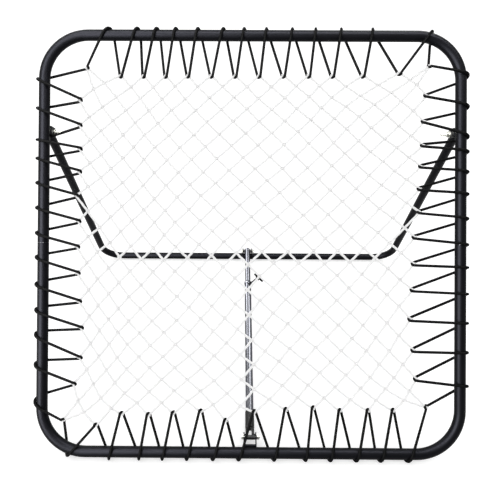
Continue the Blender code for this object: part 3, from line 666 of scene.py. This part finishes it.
def on_tube(side, along):
    """The tube's centre line beside a side, round its corners too, with its direction and its outward one."""
    clockwise, outward = side_axes(side)
    past = max(0, abs(along) - STRAIGHT) * MM / CORNER_RADIUS * (1 if along > 0 else -1)
    turn = Matrix.Rotation(past, 3, BACK)
    clockwise_here, outward_here = turn @ clockwise, turn @ outward
    level = max(-STRAIGHT, min(STRAIGHT, along))
    spot = on_side(side, level, STRAIGHT) + outward_here * CORNER_RADIUS
    return spot, clockwise_here, outward_here


def slant(side, along, spot):
    """How far the cord moves along the tube for each metre it runs, between a wrap and a loop."""
    centre, clockwise, outward = on_tube(side, along)
    reach = abs((spot - centre).dot(outward))
    return (spot - centre).dot(clockwise) / (reach + WRAP_HALF * WRAP_RADIUS)


def wrap(side, along, before, after):
    """Points once round the tube, from its front over its outer edge to its back."""
    points = []
    slants = (-slant(side, along, before), slant(side, along, after))
    for i in range(WRAP_STEPS + 1):
        angle = WRAP_HALF * (2 * i / WRAP_STEPS - 1)
        run = WRAP_RADIUS * angle * slants[angle > 0]
        centre, clockwise, outward = on_tube(side, along + run / MM)
        points.append(centre + (outward * math.cos(angle) + BACK * math.sin(angle)) * WRAP_RADIUS)
    return points


def turn_round(knot, outward):
    """Points of a half turn round a knot, from behind the net to its front and one step on clockwise."""
    clockwise = Matrix.Rotation(math.pi / 2, 3, "Y") @ outward
    arrival = BACK * math.cos(TURN_LEAN) - clockwise * math.sin(TURN_LEAN)
    points = []
    for i in range(TURN_STEPS + 1):
        angle = math.pi * (0.5 - i / TURN_STEPS)
        points.append(knot + (arrival * math.sin(angle) - outward * math.cos(angle)) * TURN_RADIUS)
    return points


route = []
for side in SIDES_CLOCKWISE:
    knots = knots_on[side]
    for i, along in enumerate(WRAPS[side]):
        outward = knots[0].normalized() if i == 0 else side_axes(side)[1]
        route += turn_round(knots[i], outward)
        route += wrap(side, along, knots[i], knots[i + 1])
print("points on the cord's route:", len(route))

# %% The cord as a mesh
CORD_SIDES = 10
curve = bpy.data.curves.new("lacing", "CURVE")
curve.dimensions = "3D"
curve.bevel_depth = CORD_RADIUS
curve.bevel_resolution = (CORD_SIDES - 4) // 2
spline = curve.splines.new("POLY")
spline.points.add(len(route) - 1)
for point, spot in zip(spline.points, route):
    point.co = (*spot, 1)
spline.use_cyclic_u = True
guide = add_object("lacing", curve)
mesh = bpy.data.meshes.new_from_object(guide)
# The curve's own map counts points along the cord. It is changed to count lengths, in turns round the cord.
length_to = [0]
for start, end in zip(route, route[1:] + route[:1]):
    length_to.append(length_to[-1] + (end - start).length)
mesh.uv_layers[0].name = "along_and_round"
for corner in mesh.uv_layers[0].data:
    corner.uv.x = length_to[round(corner.uv.x * len(route))] / (2 * math.pi * CORD_RADIUS)
print("cord length, m:", round(length_to[-1], 2))
cord = bmesh.new()
cord.from_mesh(mesh)
bpy.data.objects.remove(guide)
for vert in moved(cord, in_frame @ at_middle).verts:
    # The frame stands on these wraps, and its weight presses them flat.
    vert.co.z = max(vert.co.z, 0.0)
lengths = [f"lacing_{side}" for side in SIDES_CLOCKWISE]
finish_piece(
    cord, "elastic_lacing", Matrix.Identity(4), "black_elastic", "frame", lengths, sharp=math.pi
)

# %% [markdown]
# ## Turned shapes and booleans
# Pins, plugs, collars and washers are turned on a lathe or moulded round, so a profile of radius and height
# is spun a full turn about Z. Holes are drilled with an exact Boolean, as in the workshop, and worked out at
# once, so no helper shape stays in the scene. An end face meets its side in a rim of two small chamfers.

# %% A lathe and a drill
ROUND_STEPS = 32
REACH = 0.1
RIM = 0.002
RIM_MIDDLE = 0.0006


def turned(profile, steps=ROUND_STEPS, place=None):
    bm = bmesh.new()
    corners = [bm.verts.new((radius, 0, height)) for radius, height in profile]
    outline = [bm.edges.new(pair) for pair in zip(corners, corners[1:] + corners[:1])]
    bmesh.ops.spin(
        bm, geom=corners + outline, cent=(0, 0, 0), axis=(0, 0, 1), angle=2 * math.pi, steps=steps,
        use_merge=True,
    )
    face_outwards(bm)
    loose = [edge for edge in bm.edges if not edge.link_faces]
    bmesh.ops.delete(bm, geom=loose, context="EDGES")
    return moved(bm, place or Matrix.Identity(4))


def combine(body, tool, operation):
    """The first shape cut by, joined to or kept inside the second."""
    pair = [add_object("working", mesh_from(bm, "working")) for bm in (body, tool)]
    boolean = pair[0].modifiers.new("boolean", "BOOLEAN")
    boolean.operation = operation
    boolean.solver = "EXACT"
    boolean.object = pair[1]
    result = bmesh.new()
    result.from_object(pair[0], bpy.context.evaluated_depsgraph_get())
    for helper in pair:
        mesh = helper.data
        bpy.data.objects.remove(helper)
        bpy.data.meshes.remove(mesh)
    return result


def along_x(at=(0, 0, 0)):
    return Matrix.Translation(at) @ Matrix.Rotation(math.pi / 2, 4, "Y")


def along_y(at=(0, 0, 0)):
    return Matrix.Translation(at) @ Matrix.Rotation(-math.pi / 2, 4, "X")


def sleeve(inner, outer, low, high):
    """The profile of a plain tube, washer or pin."""
    return [(inner, low), (outer, low), (outer, high), (inner, high)]


def pin(radius, low, high, place=None):
    return turned(sleeve(0, radius, low, high), ROUND_STEPS, place)


def drill(bm, radius, place=None):
    """Cuts a round hole right through a shape, along its place's Z."""
    return combine(bm, pin(radius, -REACH, REACH, place), "DIFFERENCE")


def rim(radius, end, way, middle=RIM_MIDDLE):
    """A profile from an end face to the side, which goes on towards way, 1 or -1."""
    return [(radius - RIM, end), (radius - middle, end + way * middle), (radius, end + way * RIM)]


print("steps in a full turn:", ROUND_STEPS)

# %% [markdown]
# ## Bolts and nuts
# A hexagon head is forged, and its corners are turned off at 30 degrees, so it is a six-sided prism kept
# inside a turned cone. The thread is drawn as rings a pitch apart, which look the same as its helix in the
# picture, and the bolt ends in a small chamfer.

# %% Hexagons, threads, bolts and nuts
GAP = 0.0003
FASTENER_EDGE = 0.0002
HEXAGON = 1.75
HEAD_HEIGHT = 1.3
NUT_HEIGHT = 1.6
THREAD_DEPTH = 0.08
BOLT_PITCH = 0.3
FACE = 0.85
CONE = 1.01
CONE_ANGLE = math.radians(30)
POINT = 0.97
TIP_FACE = 0.9


def hexagon(radius, low, high, chamfer_low, chamfer_high):
    """A hexagon prism along Z with its corners turned off at one end or both."""
    bm = bmesh.new()
    middle = Matrix.Translation((0, 0, (low + high) / 2))
    bmesh.ops.create_cone(
        bm, cap_ends=True, segments=6, radius1=radius, radius2=radius, depth=high - low, matrix=middle
    )
    narrow, wide = radius * FACE, radius * CONE
    fall = (wide - narrow) * math.tan(CONE_ANGLE)
    profile = [(0, low)]
    profile += [(narrow, low), (wide, low + fall)] if chamfer_low else [(wide, low)]
    profile += [(wide, high - fall), (narrow, high)] if chamfer_high else [(wide, high)]
    return combine(bm, turned(profile + [(0, high)]), "INTERSECT")


def thread(radius, low, high, pitch):
    """A profile from low to high: a plain end chamfer and rings a pitch apart."""
    deep = radius * (1 - 2 * THREAD_DEPTH)
    turns = max(1, int((high - low - pitch) / pitch))
    rings = []
    for i in range(turns):
        rings += [(deep, low + i * pitch), (radius, low + (i + 0.5) * pitch)]
    end = [(radius * POINT, high - pitch / 2), (deep * TIP_FACE, high)]
    return rings + [(deep, low + turns * pitch)] + end


def bolt_shape(radius, shank, threaded):
    """A bolt along X with its seat at x = 0 and its shank towards +X."""
    pitch = BOLT_PITCH * radius
    head = hexagon(radius * HEXAGON, -radius * HEAD_HEIGHT, 0, True, False)
    profile = [(0, -radius / 2), (radius, -radius / 2), (radius, shank - threaded)]
    profile += thread(radius, shank - threaded + pitch / 2, shank, pitch) + [(0, shank)]
    return moved(combine(head, turned(profile), "UNION"), along_x())


def nut_shape(radius):
    height = radius * NUT_HEIGHT
    body = hexagon(radius * HEXAGON, 0, height, False, True)
    return moved(drill(body, radius + GAP), along_x())


def bolt_through(name, node, axis, body, radius, seat, tail, threaded, washer=0.0):
    """A bolt that rests at -seat on the axis, with its nut, and a washer if it has one, at the far side."""
    parts = [("bolt", bolt_shape(radius, 2 * seat + tail, threaded), -seat)]
    if washer:
        ring = turned(sleeve(radius + GAP, 2 * radius, 0, washer), ROUND_STEPS, along_x())
        parts.append(("washer", ring, seat))
        seat += washer + GAP
    parts.append(("nut", nut_shape(radius), seat))
    for part, shape, x in parts:
        finish_piece(
            shape, f"{name}_{part}", axis @ Matrix.Translation((x, 0, 0)), "yellow_zinc", body,
            [f"{node}_{part}"], FASTENER_EDGE,
        )


print("a head's corners, in bolt diameters:", HEXAGON)

# %% [markdown]
# ## The side pivots
# Each side of the leg hangs between the ears of a steel bracket that is welded behind the frame's tube. The
# ears are cut from 3 mm plate with round ends and drilled. A bolt, a washer and a nut hold the leg. The weld
# is laid in small overlapping drops, so it is a thin cord whose radius swells and shrinks.

# %% Plates and welds
PLATE = 0.003
PLATE_EDGE = 0.0004
EAR_LENGTH = 0.0272
EAR_STEPS = 10
BRACKET_GAP = 0.001
SIDE_BRACKET_BED = 0.72
BOLT_RADIUS = 0.005
SIDE_BOLT_TAIL = 0.026
SIDE_BOLT_THREAD = 0.032
WASHER = 0.0015
WELD_LENGTH = 0.0238
WELD_DROP = 0.0022
WELD_RADIUS = 0.0018
WELD_END = 0.35
WELD_RIPPLE = 0.22
WELD_ACROSS = 0.93
WELD_BACK = 0.62
WELD_SIDES = 8
FULL_ROUND = 0.999


def box_shape(low, high):
    bm = bmesh.new()
    size = Vector(high) - Vector(low)
    place = Matrix.Translation((Vector(low) + Vector(high)) / 2) @ Matrix.Diagonal((*size, 1))
    bmesh.ops.create_cube(bm, size=1, matrix=place)
    return bm


def ear_shape(x, half_width, foot, round_at):
    """A plate across X, square at y = foot and round about (0, round_at)."""
    end = round_at + half_width
    bm = box_shape((x - PLATE / 2, foot, -half_width), (x + PLATE / 2, end, half_width))
    at_end = [edge for edge in bm.edges if all(vert.co.y > end - MERGE for vert in edge.verts)]
    corners = [edge for edge in at_end if abs(edge.verts[0].co.x - edge.verts[1].co.x) > PLATE / 2]
    bmesh.ops.bevel(
        bm, geom=corners, offset=half_width * FULL_ROUND, offset_type="OFFSET", segments=EAR_STEPS,
        profile=0.5, affect="EDGES", material=-1,
    )
    return bm


def bracket_shape(half_width, foot, back, hole, tube_place=None):
    """Two ears on a web that lies on the frame's tube, with a hole through both ears."""
    half_length = EAR_LENGTH / 2
    web = box_shape((-half_width, foot, -half_length), (half_width, foot + 2 * PLATE, half_length))
    for side in (-1, 1):
        ear = ear_shape(side * (half_width - PLATE / 2), half_length, foot + PLATE, back)
        web = combine(web, ear, "UNION")
    return drill(drill(web, TUBE_RADIUS + GAP, tube_place), hole + GAP, along_x((0, back, 0)))


def weld_shape(length, places):
    """Weld beads along Z, one at each place: rings that swell and shrink with each drop of the weld."""
    bm = bmesh.new()
    steps = 2 * round(length / WELD_DROP)
    for x, y in places:
        rims = []
        for i in range(steps + 1):
            swell = WELD_RADIUS * (WELD_END if i in (0, steps) else 1 - WELD_RIPPLE * (i % 2))
            at = Matrix.Translation((x, y, length * (i / steps - 0.5)))
            rims.append(edges_in(ring_at(bm, swell, at, WELD_SIDES)))
        for lower, upper in zip(rims, rims[1:]):
            bmesh.ops.bridge_loops(bm, edges=lower + upper)
        for end in (rims[0], rims[-1]):
            bmesh.ops.contextual_create(bm, geom=end)
    return bm


print("drops in a weld:", round(WELD_LENGTH / WELD_DROP))

# %% Side brackets, bolts, washers and nuts
half_width = LEG_RADIUS + BRACKET_GAP + PLATE
for side, word in ((-1, "left"), (1, "right")):
    at = in_frame @ Matrix.Translation((side * FRAME_HALF, 0, PIVOT_UP))
    bracket = bracket_shape(half_width, TUBE_RADIUS * SIDE_BRACKET_BED, PIVOT_BACK, BOLT_RADIUS)
    finish_piece(
        bracket, f"{word}_leg_bracket", at, "black_powder_coat", "frame", [f"{word}_pivot_bracket"],
        PLATE_EDGE,
    )
    beads = [(across * TUBE_RADIUS * WELD_ACROSS, TUBE_RADIUS * WELD_BACK) for across in (-1, 1)]
    weld = weld_shape(WELD_LENGTH, beads)
    finish_piece(weld, f"{word}_bracket_weld", at, "black_powder_coat", "frame")
    inwards = Matrix.Rotation(math.pi if side > 0 else 0, 4, "Z")
    axis = at @ Matrix.Translation((0, PIVOT_BACK, 0)) @ inwards
    bolt_through(
        f"{word}_side", f"{word}_pivot", axis, "frame", BOLT_RADIUS, half_width + GAP, SIDE_BOLT_TAIL,
        SIDE_BOLT_THREAD, WASHER,
    )

# %% [markdown]
# ## The rear leg
# It is one U of 26 mm tube, bent twice, with a plastic plug in each open end and two ears on its bar for the
# strut. It is made as the frame's halves are.

# %% Leg, plugs and ears
LEG_BEND = 0.075
LEG_TOP = 0.013
LEG_WALL = 0.0015
PLUG_DEPTH = 0.006
PLUG_HEAD = 0.004
PLUG_CROWN = ((0, 0.0018), (0.0008, 0.003), (0.003, 0.0038))  # In from its side, and up.
TIP_EAR_OUT = 0.020
TIP_EAR_RADIUS = 0.013
SMALL_BOLT_RADIUS = 0.004
SMALL_BOLT_TAIL = 0.010
SMALL_BOLT_THREAD = 0.016
leg = bent_u(LEG_RADIUS, FRAME_HALF, LEG_TOP, -leg_reach.length, LEG_BEND)
wall(leg, LEG_WALL)
for side in (-1, 1):
    leg = drill(leg, BOLT_RADIUS + GAP, along_x((side * FRAME_HALF, 0, 0)))
finish_piece(leg, "u_shaped_leg", in_leg, "black_powder_coat", "leg", ["rear_leg"])
stem = LEG_RADIUS - LEG_WALL - GAP
profile = [(0, -PLUG_DEPTH), (stem, -PLUG_DEPTH), (stem, GAP), (LEG_RADIUS, GAP)]
profile += [(LEG_RADIUS - inwards, up) for inwards, up in PLUG_CROWN] + [(0, PLUG_HEAD)]
for side, word in ((-1, "left"), (1, "right")):
    at = in_leg @ Matrix.Translation((side * FRAME_HALF, 0, LEG_TOP))
    finish_piece(turned(profile), f"{word}_end_plug", at, "black_plastic", "leg", [f"{word}_leg_plug"])
    ear = ear_shape(0, TIP_EAR_RADIUS, LEG_RADIUS / 2, EAR_RISE)
    beside = Matrix.Translation((side * (TIP_EAR_OUT - PLATE / 2), 0, 0))
    ear = drill(moved(ear, beside @ Matrix.Rotation(math.pi / 2, 4, "X")), LEG_RADIUS + GAP, along_x())
    ear = drill(ear, SMALL_BOLT_RADIUS + GAP, along_x((0, 0, EAR_RISE)))
    finish_piece(
        ear, f"{word}_leg_ear", at_bar, "black_powder_coat", "leg", [f"{word}_bar_ear"], PLATE_EDGE
    )
bolt_through(
    "strut_tip", "tip", ground_middle @ Matrix.Translation(tip), "leg", SMALL_BOLT_RADIUS,
    TIP_EAR_OUT + GAP, SMALL_BOLT_TAIL, SMALL_BOLT_THREAD,
)

# %% [markdown]
# ## The strut's foot
# A bracket behind the bottom tube holds the strut's foot between its ears. The foot is one plastic moulding:
# a sleeve over the zinc tube, then a flat neck with an arched slot through it, and a cross eye for the bolt.

# %% Foot bracket, bolt and nut
FOOT_EAR_OUT = 0.019
FOOT_BRACKET_BED = 0.8
tube_place = along_x((0, 0, TUBE_HEIGHT - STRUT_PIVOT.z))
bracket = bracket_shape(
    FOOT_EAR_OUT, TUBE_RADIUS * FOOT_BRACKET_BED, STRUT_PIVOT.y, BOLT_RADIUS, tube_place
)
finish_piece(
    bracket, "strut_foot_bracket", at_bracket, "black_powder_coat", "frame", ["strut_bracket"], PLATE_EDGE
)
bolt_through(
    "strut_foot", "foot", ground_middle @ Matrix.Translation(STRUT_PIVOT), "frame", BOLT_RADIUS,
    FOOT_EAR_OUT + GAP, SMALL_BOLT_TAIL, SMALL_BOLT_THREAD,
)

# %% Foot fitting and outer tube
OUTER_RADIUS = 0.012
OUTER_WALL = 0.0013
OUTER_END = 0.662
COLLAR_LENGTH = 0.006
COLLAR_LIP = 0.003
CLAMP_SCREW_RADIUS = 0.005
SOCKET_FLOOR = 0.030
SLEEVE_RADIUS = 0.0138
SLEEVE_START = 0.0275
SLEEVE_END = 0.084
FOOT_EYE_RADIUS = 0.0085
CHEEK_WIDTH = 0.013
CHEEK_THICKNESS = 0.0075
SLOT_RADIUS = 0.005
SLOT_START = 0.001
SLOT_END = 0.026
EYE_SIDE_GAP = 0.0006
ROUNDING = 0.0008
bore = OUTER_RADIUS + GAP
floor_at = SOCKET_FLOOR - GAP
profile = [(0, SLEEVE_START), (SLEEVE_RADIUS - ROUNDING, SLEEVE_START)]
profile += [(SLEEVE_RADIUS, SLEEVE_START + ROUNDING), (SLEEVE_RADIUS, SLEEVE_END - ROUNDING)]
profile += [(SLEEVE_RADIUS - ROUNDING, SLEEVE_END), (bore, SLEEVE_END), (bore, floor_at), (0, floor_at)]
fitting = turned(profile, SIDES, along_y())
neck_end = (SLEEVE_START + floor_at) / 2
neck = box_shape((-CHEEK_WIDTH, 0, -CHEEK_THICKNESS), (CHEEK_WIDTH, neck_end, CHEEK_THICKNESS))
fitting = combine(fitting, neck, "UNION")
half_eye = FOOT_EAR_OUT - PLATE - EYE_SIDE_GAP
fitting = combine(fitting, pin(FOOT_EYE_RADIUS, -half_eye, half_eye, along_x()), "UNION")
arch = SLOT_END - SLOT_RADIUS
slot = box_shape((-SLOT_RADIUS, SLOT_START, -REACH), (SLOT_RADIUS, arch, REACH))
fitting = combine(fitting, slot, "DIFFERENCE")
fitting = drill(fitting, SLOT_RADIUS, Matrix.Translation((0, arch, 0)))
fitting = drill(fitting, BOLT_RADIUS + GAP, along_x())
finish_piece(
    fitting, "strut_foot_sleeve", in_strut, "black_plastic", "strut_outer", ["strut_foot_fitting"], PLATE_EDGE
)
inner = OUTER_RADIUS - OUTER_WALL
tube = turned(sleeve(inner, OUTER_RADIUS, SOCKET_FLOOR, OUTER_END), SIDES, along_y())
# The hole for the clamp screw goes through one side only, so this pin starts at the tube's axis.
hole = pin(CLAMP_SCREW_RADIUS + GAP, 0, REACH, in_strut.inverted() @ in_clamp)
tube = combine(tube, hole, "DIFFERENCE")
finish_piece(tube, "strut_lower_tube", in_strut, "bright_zinc", "strut_outer", ["strut_outer_tube"])

# %% [markdown]
# ## The collar and the clamp
# A zinc-plated collar guides the inner tube at the mouth of the outer one. Beside it a threaded boss is
# welded on. The clamp's screw runs in it and presses on the inner tube, turned by a bar through its head.

# %% Collar and boss
INNER_RADIUS = 0.010
BOSS_RADIUS = 0.0078
BOSS_RISE = 0.009
BOSS_CHAMFER = 0.001
BOSS_EDGE = 0.0003
lip = INNER_RADIUS + GAP
inside = OUTER_END + GAP
end = inside + COLLAR_LIP
start = OUTER_END - COLLAR_LENGTH
profile = [(lip, inside), (lip, end)] + rim(SLEEVE_RADIUS, end, -1, ROUNDING)
profile += [(SLEEVE_RADIUS, start + RIM_MIDDLE), (SLEEVE_RADIUS - RIM_MIDDLE, start)]
profile += [(bore, start), (bore, inside)]
collar = turned(profile, SIDES, along_y())
finish_piece(collar, "strut_mouth_collar", in_strut, "bright_zinc", "strut_outer", ["strut_collar"])
hole = CLAMP_SCREW_RADIUS + GAP
top = OUTER_RADIUS + BOSS_RISE
foot = OUTER_RADIUS - PLATE
profile = [(hole, foot), (BOSS_RADIUS, foot), (BOSS_RADIUS, top - BOSS_CHAMFER)]
profile += [(BOSS_RADIUS - BOSS_CHAMFER, top), (hole, top)]
boss = drill(turned(profile), OUTER_RADIUS + GAP, along_y())
finish_piece(boss, "threaded_boss", in_clamp, "black_powder_coat", "strut_outer", ["clamp_boss"], BOSS_EDGE)

# %% Clamp screw and its bar
CLAMP_RISE = 0.071
HEAD_RADIUS = 0.009
HEAD_LENGTH = 0.018
BAR_DOWN = 0.009
BAR_RADIUS = 0.0055
BAR_HALF = 0.022
BAR_TURN = math.radians(75)
THREAD_PITCH = 0.0015
CORE = 0.8
head_start = CLAMP_RISE - HEAD_LENGTH
low = INNER_RADIUS + 2 * GAP
core = CLAMP_SCREW_RADIUS * CORE
profile = [(0, low), (core, low)]
profile += thread(CLAMP_SCREW_RADIUS, low + ROUNDING, head_start - ROUNDING, THREAD_PITCH)[:-2]
profile += [(core, head_start), (HEAD_RADIUS - ROUNDING, head_start), (HEAD_RADIUS, head_start + ROUNDING)]
profile += rim(HEAD_RADIUS, CLAMP_RISE, -1)[::-1] + [(0, CLAMP_RISE)]
across = Matrix.Rotation(BAR_TURN, 4, "Z") @ along_y((0, 0, CLAMP_RISE - BAR_DOWN))
screw = drill(turned(profile), BAR_RADIUS + GAP, across)
finish_piece(screw, "clamp_screw_and_head", in_clamp, "black_powder_coat", "clamp", ["clamp_screw"])
profile = [(0, -BAR_HALF)] + rim(BAR_RADIUS, -BAR_HALF, 1)
profile += rim(BAR_RADIUS, BAR_HALF, -1)[::-1] + [(0, BAR_HALF)]
clamp_bar = turned(profile, ROUND_STEPS, across)
finish_piece(clamp_bar, "clamp_bar", in_clamp, "black_powder_coat", "clamp", ["clamp_handle"])

# %% Inner tube and tip fitting
INNER_WALL = 0.0015
INNER_START = 0.430
TIP_BUSH_RADIUS = 0.0072
TIP_HOLE_RADIUS = 0.0058
TIP_TUBE_PAST_PIVOT = 0.009
TIP_PLUG_REACH = 0.032
TIP_CAP_LENGTH = 0.003
length = strut_reach.length
tube_end = length + TIP_TUBE_PAST_PIVOT
inner = INNER_RADIUS - INNER_WALL
at_pivot = along_x((0, length, 0))
tube = turned(sleeve(inner, INNER_RADIUS, INNER_START, tube_end), SIDES, along_y())
tube = drill(tube, TIP_BUSH_RADIUS + GAP, at_pivot)
finish_piece(tube, "strut_upper_tube", in_strut, "bright_zinc", "strut_inner", ["strut_inner_tube"])
plug = inner - GAP
cap = tube_end + GAP
end = cap + TIP_CAP_LENGTH
start = length - TIP_PLUG_REACH
profile = [(0, start), (plug, start), (plug, cap), (INNER_RADIUS, cap)]
profile += rim(INNER_RADIUS, end, -1, ROUNDING)[::-1] + [(0, end)]
tip_shape = turned(profile, SIDES, along_y())
half_bush = TIP_EAR_OUT - PLATE - EYE_SIDE_GAP
tip_shape = combine(tip_shape, pin(TIP_BUSH_RADIUS, -half_bush, half_bush, at_pivot), "UNION")
tip_shape = drill(tip_shape, TIP_HOLE_RADIUS, at_pivot)
finish_piece(
    tip_shape, "strut_tip_eye", in_strut, "black_plastic", "strut_inner", ["strut_tip_fitting"], PLATE_EDGE
)

# %% [markdown]
# ## Floor and light
# The object stands on a plain pale floor. The camera sees it as white wherever no shadow falls, and so do
# shiny surfaces, by the Light Path node. A pale surround and three weak soft lamps light the matt side of
# every finish. In a studio, white cards stand round a glossy object for it to mirror, and these draw the
# streaks on the tubes. They are lamps that only glossy rays see, so they add nothing to the plain light.

# %% What is seen as white
WHITE_LIFT = 0.5
MATT_LEVEL = 0.95
FLOOR_RADIUS = 60
FLOOR_SIDES = 64
FLOOR_DROP = 0.0004
LAMP_TARGET = Vector((0, 0, 0.4))
floor_material, shader, place = new_material(
    "pale studio floor", Roughness=0.9, Specular_IOR_Level=0.0, Base_Color=colour("E4E4E4"),
    Emission_Color=(1, 1, 1, 1),
)
world = bpy.data.worlds.new("surround")
world.use_nodes = True
bpy.context.scene.world = world
seen = []
for owner in (floor_material, world):
    rays = add_node(owner, "ShaderNodeLightPath").outputs
    total = add_node(
        owner, "ShaderNodeMath", {0: rays["Is Camera Ray"], 1: rays["Is Glossy Ray"]}, operation="ADD"
    )
    seen.append(add_node(
        owner, "ShaderNodeMath", {0: total, 1: rays["Is Transmission Ray"]}, operation="ADD",
        use_clamp=True,
    ))
print("rays that see white: camera, glossy and transmission")

# %% Floor
lift = add_node(floor_material, "ShaderNodeMath", {0: seen[0], 1: WHITE_LIFT}, operation="MULTIPLY")
plug_in(shader.inputs["Emission Strength"], lift)
bm = bmesh.new()
bmesh.ops.create_circle(bm, cap_ends=True, segments=FLOOR_SIDES, radius=FLOOR_RADIUS)
mesh = mesh_from(bm, "floor")
mesh.materials.append(floor_material)
floor = add_object("floor", mesh)
floor.location.z = -FLOOR_DROP
floor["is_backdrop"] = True
print("floor, m across:", 2 * FLOOR_RADIUS)

# %% Surround and lamps
background = world.node_tree.nodes["Background"]
plug_in(background.inputs["Color"], (1, 1, 1, 1))
level = add_node(world, "ShaderNodeMapRange", {"Value": seen[1], "To Min": MATT_LEVEL, "To Max": 1.0})
plug_in(background.inputs["Strength"], level)
LAMPS = (
    ("key", (-2.0, -1.7, 2.9), (1.8, 1.8), 9, "matt"),
    ("fill", (2.6, -1.4, 2.0), (1.6, 1.6), 5, "matt"),
    ("back", (0.0, 2.6, 2.9), (4.0, 1.1), 8, "matt"),
    ("tall_card", (-1.6, -1.65, 1.73), (1.9, 3.2), 830, "gloss"),
    ("top_card", (0.0, 0.1, 3.0), (3.4, 0.9), 400, "gloss"),
    ("left_card", (-2.1, 3.2, 1.6), (1.6, 1.6), 74, "gloss"),
    ("right_card", (1.3, 2.4, 2.5), (1.4, 1.6), 50, "gloss"),
)
for name, spot, size, power, lit in LAMPS:
    lamp_data = bpy.data.lights.new(name, "AREA")
    lamp_data.shape = "RECTANGLE"
    lamp_data.size, lamp_data.size_y = size
    lamp_data.energy = power
    lamp = add_object(name, lamp_data)
    lamp.location = spot
    lamp.rotation_euler = (LAMP_TARGET - Vector(spot)).to_track_quat("-Z", "Y").to_euler()
    lamp.visible_camera = False
    lamp.visible_diffuse = lit == "matt"
    lamp.visible_glossy = lit == "gloss"
bpy.context.scene.view_settings.view_transform = "Standard"
print("lamps and cards:", len(LAMPS))

low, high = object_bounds()
print("dressed, mm:", [round(1000 * side, 1) for side in high - low])
